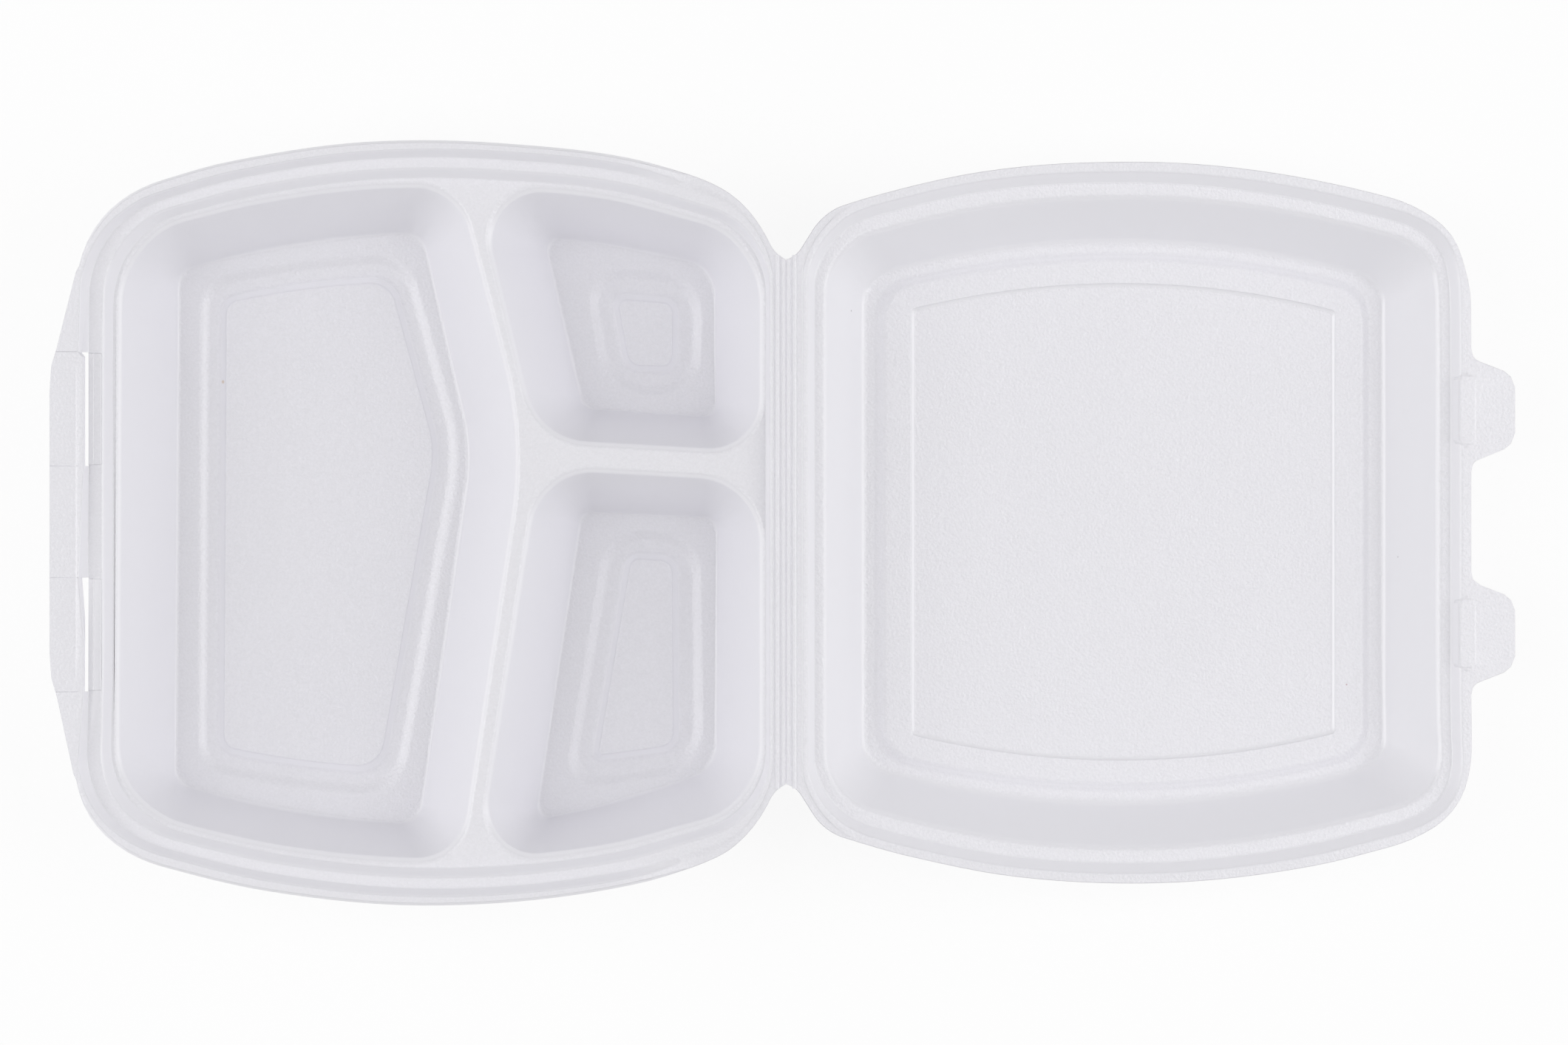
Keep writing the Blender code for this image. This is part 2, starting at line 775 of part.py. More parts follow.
def lid_profile():
    """Upper face of the open lid as (inset from the flange's inner edge, drop below the rim)."""
    margin = LID_DEPTH - LID_MARGIN_RISE
    return [
        (0, 0),
        (LID_SHOULDER_RUN, LID_SHOULDER_DROP),
        (LID_STEP_RUN, LID_STEP),
        (LID_LEDGE_END, LID_STEP),
        (LID_LEDGE_ROUND, LID_STEP + LID_LEDGE_ROUND_DROP),
        (LID_WALL_END, LID_DEPTH - LID_WALL_ROUND_RISE),
        (LID_MOAT_START, LID_DEPTH),
        (LID_MOAT_END, LID_DEPTH),
        (LID_MARGIN_START, margin),
        (LID_PANEL_START, margin),
        (LID_PANEL_END, margin + LID_PANEL_DROP),
    ]


def backed(profile, thickness):
    """The same profile on the other face of the sheet."""
    made = []
    for i, point in enumerate(profile):
        before = profile[max(i - 1, 0)]
        after = profile[min(i + 1, len(profile) - 1)]
        normals = []
        for a, b in ((before, point), (point, after)):
            along = minus(b, a)
            if length(along) > 0:
                normals.append((-along[1] / length(along), along[0] / length(along)))
        across = tuple(sum(n[k] for n in normals) / len(normals) for k in (0, 1))
        size = across[0] ** 2 + across[1] ** 2
        made.append(tuple(point[k] + across[k] * thickness / size for k in (0, 1)))
    return made


def lid_rings(axis_height):
    flat = RIM_HEIGHT - axis_height
    flange = four_corners(
        FLANGE_BACK, FLANGE_FRONT, FLANGE_HALF_WIDTH, FLANGE_REACH, FLANGE_REACH
    )
    centre = (CROWN, 0)

    def contour(distance):
        radii = (0, SIDE_ARC - distance, 0, SIDE_ARC - distance)
        return outline(inset(flange, distance), radii)

    edge = lid_rim(FOLD_GAP / 2)
    edge_under = lid_rim(FOLD_UNDERCUT)
    angles = ray_angles((edge, contour(LID_WALL_END), contour(LID_PANEL_END)), centre)

    def ring(points, level):
        return at_level(ray_ring(points, centre, angles), level)

    upper = lid_profile()
    lower = backed(upper, SHEET)
    rings = [ring(contour(d), flat - drop) for d, drop in reversed(upper)]
    rings.append(ring(edge, flat))
    rings.append(ring(edge_under, flat - SHEET))
    rings += [ring(contour(d), flat - drop) for d, drop in lower]
    return rings


def lid_droop(axis_height):
    """Angle at which the opened lid's outer corner comes down to the table."""
    lower = backed(lid_profile(), SHEET)
    angles = []
    for distance, drop in lower:
        across = FLANGE_FRONT - distance
        below = drop + axis_height - RIM_HEIGHT
        radius = math.hypot(across, below)
        meets = math.asin((axis_height - TABLE_CLEARANCE) / radius)
        angles.append(meets - math.atan2(below, across))
    return min(angles)


def add_pads(lid, cutters, flat):
    for side, name in ((1, "upper"), (-1, "lower")):
        middle = side * TAB_CENTRE
        pad = box(
            f"{name}_pad",
            (LID_FRONT - PAD_INNER, middle - PAD_HALF_LENGTH, flat - PAD_DEPTH),
            (LID_FRONT - PAD_OUTER, middle + PAD_HALF_LENGTH, flat - PAD_DROP),
            cutters,
        )
        place_on_axis(pad)
        boolean(lid, "UNION", pad)


def place_on_axis(obj):
    axis_height = RIM_HEIGHT + FOLD_GAP / 2
    obj.location = (0, 0, axis_height)
    obj.rotation_euler = (0, lid_droop(axis_height), 0)


def build_lid(parts, cutters, foam):
    axis_height = RIM_HEIGHT + FOLD_GAP / 2
    flat = RIM_HEIGHT - axis_height
    lid = loft("lid", lid_rings(axis_height), parts, foam)
    place_on_axis(lid)
    add_pads(lid, cutters, flat)
    for number, x in enumerate(LID_GROOVES):
        cut = groove_cutter(f"lid_groove_{number}", x, flat, cutters)
        place_on_axis(cut)
        boolean(lid, "DIFFERENCE", cut)
    return lid


def centre_on_footprint(objects):
    """Moves everything so that the origin is under the middle of the object's box."""
    bpy.context.view_layer.update()
    solid = [obj for obj in objects if not obj.hide_render]
    places = [(obj.matrix_world @ v.co).x for obj in solid for v in obj.data.vertices]
    middle = (min(places) + max(places)) / 2
    for obj in objects:
        obj.location.x -= middle


def main():
    clear_scene()
    parts = new_collection("foam_clamshell_container", False)
    cutters = new_collection("cutters", True)
    foam = foam_material()
    build_base(parts, cutters, foam)
    build_lid(parts, cutters, foam)
    centre_on_footprint(list(bpy.data.objects))


main()
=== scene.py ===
import json
import math

import bmesh
import bpy
from mathutils import Matrix, Vector

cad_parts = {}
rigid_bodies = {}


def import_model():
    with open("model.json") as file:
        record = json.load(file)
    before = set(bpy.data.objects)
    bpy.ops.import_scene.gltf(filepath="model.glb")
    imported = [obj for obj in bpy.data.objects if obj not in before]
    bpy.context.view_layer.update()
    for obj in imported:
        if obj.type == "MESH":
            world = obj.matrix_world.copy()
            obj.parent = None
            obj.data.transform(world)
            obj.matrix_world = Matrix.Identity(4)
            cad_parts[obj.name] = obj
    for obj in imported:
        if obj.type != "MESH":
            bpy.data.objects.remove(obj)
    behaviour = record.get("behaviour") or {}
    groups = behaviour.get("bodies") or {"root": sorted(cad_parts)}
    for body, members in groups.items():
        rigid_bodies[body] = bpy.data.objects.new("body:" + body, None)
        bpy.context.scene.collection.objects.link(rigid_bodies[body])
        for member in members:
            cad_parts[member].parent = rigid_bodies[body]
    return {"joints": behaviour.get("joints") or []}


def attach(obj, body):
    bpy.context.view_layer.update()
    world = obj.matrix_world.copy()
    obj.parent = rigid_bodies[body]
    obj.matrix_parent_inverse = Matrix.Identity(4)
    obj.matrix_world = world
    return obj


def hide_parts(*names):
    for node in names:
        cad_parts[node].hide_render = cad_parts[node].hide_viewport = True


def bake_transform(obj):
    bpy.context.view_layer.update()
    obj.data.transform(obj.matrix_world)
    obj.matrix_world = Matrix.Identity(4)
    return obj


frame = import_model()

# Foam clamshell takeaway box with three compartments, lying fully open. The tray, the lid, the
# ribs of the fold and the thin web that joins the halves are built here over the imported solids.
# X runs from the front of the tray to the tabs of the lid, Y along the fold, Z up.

bl_info = {
    "name": "Foam clamshell container",
    "version": (1, 0, 0),
    "blender": (4, 5, 0),
    "location": "View3D > Sidebar > Foam box",
    "description": "Builds an open foam takeaway box with a ribbed fold",
    "category": "Add Mesh",
}

MM = 0.001

# The sheet and the heights. Drops are measured down from the rim, the lid's when it lies level.
SHEET = 2.0 * MM
RIM_HEIGHT = 48.0 * MM
LIP_LIFT = 4.7 * MM
FLANGE_DROOP = 0.9 * MM
DECK_DROP = 4.5 * MM
FOOT_DEPTH = 2.0 * MM
PANEL_RISE = 0.5 * MM
LID_STEP = 4.0 * MM
LID_DEPTH = 25.0 * MM
LID_MARGIN_RISE = 1.2 * MM
LID_PANEL_DROP = 0.8 * MM

# The long sides bulge: the crown is where both halves are widest, and SIDE_FALL is how much
# narrower the tray is on each side at its front corners
BASE_FRONT = 222.7 * MM
BASE_HALF_WIDTH = 119.9 * MM
SIDE_FALL = 20.2 * MM
CROWN_SHARE = 0.496
CROWN = BASE_FRONT * CROWN_SHARE
SIDE_ARC = (BASE_FRONT - CROWN) ** 2 / (2 * SIDE_FALL)

# The fold: the gap of its score line, wider underneath, and how far each end stands back from
# the tray's widest place
FOLD_GAP = 0.3 * MM
FOLD_UNDERCUT = 0.6 * MM
FOLD_SETBACK = 37.5 * MM
FOLD_HALF_LENGTH = BASE_HALF_WIDTH - FOLD_SETBACK
TABLE_CLEARANCE = 0.3 * MM

# Outer edge of the tray: rounding reaches, the shoulder beside the fold and the notch at its end
BASE_FRONT_REACH = 27.0 * MM
BASE_SHOULDER = 24.0 * MM
BASE_SHOULDER_SHARE = 0.987
BASE_SHOULDER_REACH = 8.0 * MM
BASE_SHOULDER_ARC = 39.5 * MM
BASE_NOTCH = 4.0 * MM
BASE_NOTCH_RUN = 2.5 * MM
NOTCH_REACH = 2.6 * MM

# Inner edge of the raised flange of the tray
LIP_BACK = 1.7 * MM
LIP_FRONT = BASE_FRONT - 0.9 * MM
LIP_HALF_WIDTH = BASE_HALF_WIDTH - 3.8 * MM
LIP_BACK_REACH = 24.0 * MM
LIP_FRONT_REACH = 26.5 * MM

# Outer edge of the ledge that carries the closed lid
LEDGE_BACK = 3.1 * MM
LEDGE_FRONT = LIP_FRONT - 2.6 * MM
LEDGE_HALF_WIDTH = LIP_HALF_WIDTH - 2.2 * MM
LEDGE_BACK_REACH = 21.0 * MM
LEDGE_FRONT_REACH = 24.8 * MM

# Inner edge of the ledge, where the tray steps down to the divider tops, the run of that step's
# wall, how far its underside and that of the flange stand back, and the least width that the
# rim's edge keeps outside every line
STEP_BACK = 4.6 * MM
STEP_FRONT = LEDGE_FRONT - 4.8 * MM
STEP_HALF_WIDTH = LEDGE_HALF_WIDTH - 3.6 * MM
STEP_BACK_REACH = 19.0 * MM
STEP_FRONT_REACH = 22.5 * MM
STEP_WALL = 2.6 * MM
STEP_BACKING = 0.6 * MM
WALL_BACKING = 1.5 * MM
LEAST_EDGE = 0.35 * MM

# Where the raised flange runs down to the ledge, measured from the fold
RAMP_START = 27.0 * MM
RAMP_END = 56.0 * MM

# The front lip: how far it stands out, and its outline as shares of that and of the front's
# half width
LIP_REACH = 8.2 * MM
LIP_SHARES = (
    (0.024, 0.787),
    (0.718, 0.549),
    (0.929, 0.492),
    (1.0, 0.415),
)

# The compartments. Each corner is given in shares: how far it is from the fold towards the step
# at the front, how far from the middle line towards the step at the side, and how far from the
# corner its rounding starts, of half the tray's width at that step.
LARGE_MOUTH_SHARES = (
    (0.980, 0.955, 0.195),
    (0.980, -0.955, 0.195),
    (0.475, -0.959, 0.127),
    (0.382, 0.245, 0.236),
    (0.479, 0.959, 0.127),
)
LARGE_FOOT_SHARES = (
    (0.906, 0.808, 0.045),
    (0.910, -0.848, 0.045),
    (0.546, -0.870, 0.054),
    (0.466, 0.208, 0.109),
    (0.542, 0.837, 0.054),
)
LARGE_RING_SHARES = (
    (0.871, 0.762, 0.082),
    (0.875, -0.781, 0.082),
    (0.575, -0.792, 0.118),
    (0.485, 0.213, 0.118),
    (0.563, 0.774, 0.109),
)
UPPER_MOUTH_SHARES = (
    (0.459, 0.960, 0.190),
    (0.368, 0.230, 0.145),
    (0.035, 0.225, 0.154),
    (0.035, 0.954, 0.181),
)
UPPER_FOOT_SHARES = (
    (0.361, 0.836, 0.045),
    (0.303, 0.336, 0.036),
    (0.105, 0.339, 0.036),
    (0.105, 0.830, 0.082),
)
UPPER_RING_SHARES = (
    (0.303, 0.757, 0.086),
    (0.268, 0.390, 0.086),
    (0.129, 0.406, 0.086),
    (0.126, 0.786, 0.086),
)
LOWER_MOUTH_SHARES = (
    (0.365, 0.162, 0.163),
    (0.455, -0.960, 0.168),
    (0.035, -0.954, 0.172),
    (0.035, 0.147, 0.177),
)
LOWER_FOOT_SHARES = (
    (0.306, 0.032, 0.036),
    (0.374, -0.871, 0.045),
    (0.103, -0.805, 0.073),
    (0.103, 0.015, 0.036),
)
LOWER_RING_SHARES = (
    (0.266, -0.021, 0.082),
    (0.331, -0.788, 0.073),
    (0.126, -0.797, 0.091),
    (0.128, -0.041, 0.091),
)

# How flat the bulging edges of the compartments are, as shares of the rim's radius
MOUTH_ARC_SHARE = 0.936
FOOT_ARC_SHARE = 0.891

# The compartments' mouths and channels, as insets from the outlines above and drops below the
# divider tops. The wall's foot keeps a share of the sheet's thickness.
MOUTH_OUTSET = 0.9 * MM
MOUTH_ROUND_INSET = 0.55 * MM
MOUTH_ROUND_END = 1.7 * MM
CUTTER_TOP = 3.0 * MM
RING_SLOPE = 2.6 * MM
RING_FLOOR = 6.2 * MM
BACK_SHARE = 0.45
FOOT_BACK_SHARE = 1.2 * BACK_SHARE

# The lid: its rim lies inside the raised flange of the tray when closed
LID_FRONT_CLEARANCE = 0.8 * MM
LID_SIDE_CLEARANCE = 0.3 * MM
LID_FRONT = LEDGE_FRONT - LID_FRONT_CLEARANCE
LID_HALF_WIDTH = LEDGE_HALF_WIDTH - LID_SIDE_CLEARANCE
LID_FRONT_REACH = 26.0 * MM
LID_SHOULDER = 12.0 * MM
LID_SHOULDER_SHARE = 0.992
LID_SHOULDER_REACH = 6.5 * MM
LID_NOTCH = 3.6 * MM
LID_NOTCH_RUN = 1.5 * MM

# The lid: inner edge of the flange, from which the profile is measured inwards, and the places
# and drops of that profile
FLANGE_WIDTH = 3.0 * MM
FLANGE_BACK = 6.1 * MM
FLANGE_FRONT = LID_FRONT - FLANGE_WIDTH
FLANGE_HALF_WIDTH = LID_HALF_WIDTH - FLANGE_WIDTH
FLANGE_REACH = 20.0 * MM
LID_SHOULDER_RUN = 1.0 * MM
LID_SHOULDER_DROP = 0.5 * MM
LID_STEP_RUN = 3.0 * MM
LID_LEDGE_END = 6.2 * MM
LID_LEDGE_ROUND = 7.6 * MM
LID_LEDGE_ROUND_DROP = 0.9 * MM
LID_WALL_END = 20.0 * MM
LID_WALL_ROUND_RISE = 1.8 * MM
LID_MOAT_START = 22.6 * MM
LID_MOAT_END = 25.4 * MM
LID_MARGIN_START = 27.8 * MM
LID_PANEL_START = 36.4 * MM
LID_PANEL_END = 38.2 * MM

# The tabs beyond the lid's rim, their outline as shares of the length and the half width, and the
# pads at their roots
TAB_CENTRE = 35.4 * MM
TAB_LENGTH = 14.1 * MM
TAB_HALF_WIDTH = 17.2 * MM
TAB_SHARES = (
    (0.0, 1.136),
    (0.036, 1.0),
    (0.101, 0.937),
    (0.201, 0.892),
    (0.748, 0.722),
    (0.906, 0.614),
    (1.0, 0.415),
)
PAD_HALF_LENGTH = 10.8 * MM
PAD_DEPTH = 2.2 * MM

# The slots in front of the closed lid, where the tabs pass under the lip
SLOT_CLEARANCE = 0.7 * MM
SLOT_HALF_LENGTH = TAB_HALF_WIDTH + SLOT_CLEARANCE
SLOT_SETBACK = 0.6 * MM
SLOT_INNER = LID_FRONT + SLOT_SETBACK
SLOT_HEADROOM = 0.2 * MM
SLOT_OVERCUT = 4.0 * MM

# How finely curves are divided, and how much of the reach of a rounding is lost by an inset
CORNER_PIECES = 12
ARC_PIECES = 28
FILLET_PIECES = 4
SAME_ANGLE = math.radians(0.3)
PARALLEL = 1e-12
SHORTEST_REACH = 1.0 * MM
REACH_LOSS_SHARE = 0.68
SHARP_ANGLE = math.radians(38)

# Roundings of the foam, from the mould's own edges to the crisp trimmed ones
DECK_FILLET = 0.55 * MM
STEP_ROUND = 0.9 * MM
LEDGE_FILLET = 0.55 * MM
LIP_ROUND = 0.65 * MM
TRIM_ROUND = 0.22 * MM
UNDER_ROUND = 0.8 * MM

# The compartments: the arc from the divider tops into the walls, the roundings at the foot, and
# the channel, as insets from its outer edge
MOUTH_ROUND = 3.2 * MM
MOUTH_ROUND_START = math.radians(12)
MOUTH_ROUND_ANGLE = math.radians(64)
MOUTH_ROUND_PIECES = 9
FOOT_ROUND = 1.7 * MM
RING_EDGE_ROUND = 1.6 * MM
RING_FLOOR_ROUND = 0.9 * MM
PANEL_EDGE_ROUND = 0.55 * MM
CHANNEL_FILL = 0.8 * MM
CHANNEL_START = 2.3 * MM
CHANNEL_END = 5.2 * MM
PANEL_START = 7.5 * MM

# The strip at the fold: the halves are thinner there and carry the ribs, and a thin web joins them
STRIP_DROP = 0.5 * MM
WEB_END_GAP = 0.2 * MM
WEB_HALF_WIDTH = 0.8 * MM
WEB_THICKNESS = 0.35 * MM
WEB_PIECES = 16

# The bead round the fold's side of both halves, the step behind it and the ribs
BEAD_BACK = 4.15 * MM
BEAD_FRONT = 5.3 * MM
STRIP_BACK = 3.85 * MM
DECK_BACK = 6.3 * MM
LID_BEAD_WIDTH = 1.3 * MM
LID_BEAD_FOOT = 0.35 * MM
LID_BEAD_ROUND = 0.5 * MM
LID_BEAD_EDGE = 3 * LEAST_EDGE
LID_STRIP_EDGE = 2 * LEAST_EDGE
STRIP_FADE_START = 9.0 * MM
STRIP_FADE_END = 24.0 * MM
RIB_FIRST = 0.85 * MM
RIB_PITCH = 1.9 * MM
RIB_INNER_WIDTH = 1.2 * MM
RIB_OUTER_WIDTH = 1.65 * MM
RIB_LENGTHENING = 1.2
RIB_END_GAP = 0.5 * MM
RIB_SIDES = 20

# The line pressed across the lip, where the tray's straight front would end. Its section gives
# place, depth and the least width of the rim outside it.
CREASE_HALF_LENGTH = 52.0 * MM
CREASE_FADE = 3.0 * MM
CREASE_HALF_WIDTH = 0.45 * MM
CREASE_DEPTH = 0.22 * MM
CREASE_SECTION = (
    (-CREASE_HALF_WIDTH, 0, 3 * LEAST_EDGE),
    (0, CREASE_DEPTH, 2.5 * LEAST_EDGE),
    (CREASE_HALF_WIDTH, 0, 2 * LEAST_EDGE),
)
LIP_EDGE = 4 * LEAST_EDGE

# The channels in the floors: the outer corners of the small ones are rounder than the solid's,
# and all are wider on their inner side. The panel's edge takes a longer run on the underside.
RING_ROUNDER = 1.4
LARGE_RING_MORE = 0.6 * MM
SMALL_RING_MORE = 1.6 * MM
PANEL_UNDER_RUN = 1.5 * PANEL_EDGE_ROUND

# The slots: the lip reaches in over them to a narrow slit, and the ledge behind is lifted by two
# low pads. A faint line runs from each end of a slot to the lip's edge.
SLIT_WIDTH = 0.85 * MM
SLOT_END_FADE = 0.5 * MM
SLOT_LIP_REACH = LIP_FRONT - LEDGE_FRONT - SLIT_WIDTH
SLOT_PAD_BACK = STEP_FRONT + 0.5 * MM
SLOT_PAD_RISE = 0.35 * MM
SLOT_STRIP_BACK = LEDGE_FRONT - 1.9 * MM
SLOT_STRIP_RISE = 0.65 * MM
SLOT_PAD_ROUND = 0.3 * MM
SLOT_PAD_BEVEL = 0.3 * SLOT_PAD_ROUND
SLOT_PAD_END = 0.35 * MM
LINE_HALF_WIDTH = 0.25 * MM
LINE_DEPTH = 0.15 * MM
LINE_OVERRUN = 2.0 * MM

# The lid's own profile, with the roundings of its corners. Its outlines keep a least reach in
# their corners outside the panel, and the long walls give back a share of each inset beyond the
# ledge, so that they are steeper than the walls at the fold and at the front.
LID_EDGE_ROUND = 0.8 * MM
LID_STEP_FILLET = 0.6 * MM
LID_LEDGE_MORE = 0.7 * MM
LID_LEDGE_SHOULDER = 1.6 * MM
LID_WALL_FOOT = 20.9 * MM
LID_FOOT_ROUND = 2.0 * MM
LID_MARGIN_ROUND = 1.0 * MM
LID_PANEL_ROUND = 0.35 * MM
LID_BORDER_RUN = 1.2 * MM
LID_LEAST_REACH = 9.0 * MM
LID_SIDE_GAIN = 0.36
LID_UNDER_ROUNDS = (
    0.9 * MM,
    0.9 * MM,
    1.2 * MM,
    1.5 * MM,
    0.6 * MM,
    0.6 * MM,
    0.3 * MM,
    0.3 * MM,
    0,
)

# The solid's profile, on which the open lid rests
LID_REST_PROFILE = (
    (0, 0),
    (LID_SHOULDER_RUN, LID_SHOULDER_DROP),
    (LID_STEP_RUN, LID_STEP),
    (LID_LEDGE_END, LID_STEP),
    (LID_LEDGE_ROUND, LID_STEP + LID_LEDGE_ROUND_DROP),
    (LID_WALL_END, LID_DEPTH - LID_WALL_ROUND_RISE),
    (LID_MOAT_START, LID_DEPTH),
    (LID_MOAT_END, LID_DEPTH),
    (LID_MARGIN_START, LID_DEPTH - LID_MARGIN_RISE),
)

# The pads of the tabs: how far they rise above the rim, how much of that at their edge, how far
# their foot spreads below the rim, and how far they reach in and out from the lid's front
PAD_RISE = 0.3 * MM
PAD_EDGE_SHARE = 0.7
PAD_ROUND = 0.4 * MM
PAD_SPREAD = 1.5 * MM
PAD_REACH_IN = 3.7 * MM
PAD_REACH_OUT = 1.3 * MM
PAD_CORNER = 1.6 * MM

# How uneven the rim of a real box is: by direction from the middle of the half, in degrees from
# its front, how many millimetres farther out the rim lies
TRIM_FADE_START = 0.7
TRIM_FADE_END = 0.88
TRAY_TRIM = (
    (-140, 0),
    (-130, 0.3),
    (-120, 1.5),
    (-90, 1.25),
    (-65, 0.65),
    (-51, 0),
    (-40, 1.1),
    (-28, 0.1),
    (-20, 0),
    (25, 0),
    (40, -0.4),
    (50, -1.1),
    (60, -0.1),
    (80, 0.55),
    (100, 0.5),
    (119, 1.5),
    (132, 0.4),
    (140, 0),
)
LID_TRIM = (
    (-138, 0),
    (-124, 0.6),
    (-110, 1.1),
    (-90, 0.95),
    (-62, 0.7),
    (-51, 0.2),
    (-41, 1.8),
    (-32, 0.2),
    (-28, 0),
    (30, 0),
    (36, -0.2),
    (42, 1.0),
    (50, -0.1),
    (90, 0.4),
    (115, 1.05),
    (130, 0.6),
    (137, 0),
)

# The grain survives by how steep the face is. Scales are per metre, depths are shares of the
# grain's own. The tone runs from the foam's colour down to a share of it, and the drawn walls are
# painted lighter, by channel: painted light for the light that shines through their thin sheet and
# fills the deep compartments, and partly the smoother, whiter skin of the drawn foam.
GRAIN_KEPT = math.radians(22)
GRAIN_LOST = math.radians(35)
CELL_SMOOTHNESS = 0.3
FINE_NOISE_SCALE = 3200.0
FINE_DEPTH_SHARE = 0.06
FINE_ROUGHNESS = 0.6
CRUMB_DETAIL = 3.0
CRUMB_ROUGHNESS = 0.62
CELL_SHARE = 0.8
CELL_DEPTH_SHARE = 0.35
CLOUD_SCALE = 28.0
CLOUD_DEPTH = 0.5
MOTTLE_DEPTH = 3.0
TONE_SHARE = 0.955
FOAM_COLOUR = (0.885, 0.877, 0.92)
FOAM_ROUGHNESS = 0.3
FOAM_IOR = 1.5
GRAIN_SIZE = 0.8 * MM
GRAIN_DEPTH = 0.22 * MM
GRAIN_STRENGTH = 0.8
SPECK_STRENGTH = 0.75
# Painted light: how much lighter the drawn walls are painted than the level faces, by channel
WALL_PAINTED_LIGHT = (1.035, 1.037, 1.03)

# Specks on the foam: name, place and reach in metres, and colour
SPECKS = (
    ("brown", (-0.18, 0.0447, 0.00371), 0.0007, (0.74, 0.6, 0.47)),
    ("dark near the fold", (0.0205, 0.0668, 0.02716), 0.00035, (0.3, 0.29, 0.31)),
    ("dark at the margin", (0.1689, -0.0606, 0.00573), 0.00045, (0.2, 0.2, 0.2)),
    ("dark at the wall", (0.195, -0.0112, 0.00751), 0.0003, (0.5, 0.48, 0.5)),
    ("red", (0.1788, -0.052, 0.00465), 0.00035, (0.5, 0.3, 0.33)),
)
SPECK_CORE = 0.5

# Stage, in metres: the camera looks straight down and sees VIEW_WIDTH at the rim's level. Lamps
# stand on both sides, given as distance and height.
CAMERA_HEIGHT = 2.6
VIEW_ALONG = -0.7 * MM
VIEW_ACROSS = -0.23 * MM
VIEW_WIDTH = 492.3 * MM
SENSOR_WIDTH = 36.0
FLOOR_REACH = 3.0
FLOOR_WHITE_SHARE = 0.9
FLOOR_ROUGHNESS = 0.9
FLOOR_COLOUR = (0.96, 0.96, 0.96)
WHITE = (1, 1, 1, 1)
LOW_LAMP = (2.0, 0.6)
HIGH_LAMP = (1.3, 1.6)
LAMP_SIZE = (1.0, 1.6)
LAMP_TARGET = (0, 0, 0.02)
LOW_POWER = 7.8
HIGH_POWER = 10.4
WORLD_STRENGTH = 0.455


# Outlines. A corner is (x, y, reach): the rounding starts that far from the corner. Each outline
# also has one arc radius per edge, from a corner to the next, and 0 means a straight edge.


def minus(a, b):
    return (a[0] - b[0], a[1] - b[1])


def length(v):
    return math.hypot(v[0], v[1])


def cross(a, b):
    return a[0] * b[1] - a[1] * b[0]


def mixed(a, b, share):
    return tuple(p + (q - p) * share for p, q in zip(a, b))


def clamped(share):
    return min(max(share, 0), 1)


def eased(share):
    """The share as a smooth rise, level at 0 and at 1."""
    return share * share * (3 - 2 * share)


def arc_control(start, end, radius, turn):
    """Middle control point of the edge: a parabola as flat as the arc, bulging outwards."""
    middle = mixed(start[:2], end[:2], 0.5)
    if radius == 0:
        return middle
    along = minus(end, start)
    bulge = 2 * length(along) ** 2 / (8 * radius) * turn
    return (
        middle[0] + along[1] / length(along) * bulge,
        middle[1] - along[0] / length(along) * bulge,
    )


def on_curve(start, control, end, share):
    return mixed(mixed(start, control, share), mixed(control, end, share), share)


def crossing(a, towards_a, b, towards_b):
    """Where the tangents from a and b meet."""
    first = minus(towards_a, a)
    second = minus(towards_b, b)
    below = cross(first, second)
    if abs(below) < PARALLEL * MM * MM:
        return mixed(a, b, 0.5)
    share = cross(minus(b, a), second) / below
    return (a[0] + first[0] * share, a[1] + first[1] * share)


def corner_arc(before, control_before, after, control_after):
    """Points of a circular rounding between the ends of two edges."""
    corner = crossing(before, control_before, after, control_after)
    to_before = minus(before, corner)
    to_after = minus(after, corner)
    size = length(to_before) * length(to_after)
    if size == 0:
        return [before, after]
    cosine = (to_before[0] * to_after[0] + to_before[1] * to_after[1]) / size
    weight = math.sqrt(max(0.0, (1 - cosine) / 2))
    points = []
    for i in range(CORNER_PIECES + 1):
        t = i / CORNER_PIECES
        shares = ((1 - t) ** 2, 2 * weight * t * (1 - t), t * t)
        total = sum(shares)
        points.append(
            tuple(
                (shares[0] * before[k] + shares[1] * corner[k] + shares[2] * after[k]) / total
                for k in (0, 1)
            )
        )
    return points


def turning(corners):
    """1 for corners listed anticlockwise, -1 for clockwise."""
    area = sum(cross(a, b) for a, b in zip(corners, corners[1:] + corners[:1]))
    return math.copysign(1, area)


def outline(corners, radii):
    """Closed outline with rounded corners, starting on the first edge's first corner."""
    turn = turning(corners)
    edges = []
    for start, end, radius in zip(corners, corners[1:] + corners[:1], radii):
        control = arc_control(start, end, radius, turn)
        span = length(minus(end, start))
        edges.append((start[:2], control, end[:2], start[2] / span, 1 - end[2] / span))
    points = []
    for corner, radius, before, after in zip(corners, radii, edges[-1:] + edges[:-1], edges):
        *curve_before, _, stop = before
        *curve, first, last = after
        if corner[2] == 0:
            points.append(corner[:2])
        else:
            points += corner_arc(
                on_curve(*curve_before, stop),
                mixed(*curve_before[1:], stop),
                on_curve(*curve, first),
                mixed(*curve[:2], first),
            )
        if radius != 0:
            for k in range(1, ARC_PIECES):
                points.append(on_curve(*curve, first + (last - first) * k / ARC_PIECES))
    return points


def inset(corners, distance):
    """The same corners with every edge moved inwards, and the roundings tighter to match."""
    turn = turning(corners)
    count = len(corners)
    lines = []
    for i in range(count):
        a, b = corners[i], corners[(i + 1) % count]
        along = minus(b, a)
        shift = distance * turn / length(along)
        moved = (-along[1] * shift, along[0] * shift)
        lines.append(((a[0] + moved[0], a[1] + moved[1]), (b[0] + moved[0], b[1] + moved[1])))
    made = []
    for i in range(count):
        before, after = lines[i - 1], lines[i]
        x, y = crossing(before[0], before[1], after[0], after[1])
        reach = max(corners[i][2] - distance * REACH_LOSS_SHARE, SHORTEST_REACH)
        made.append((x, y, reach))
    return made


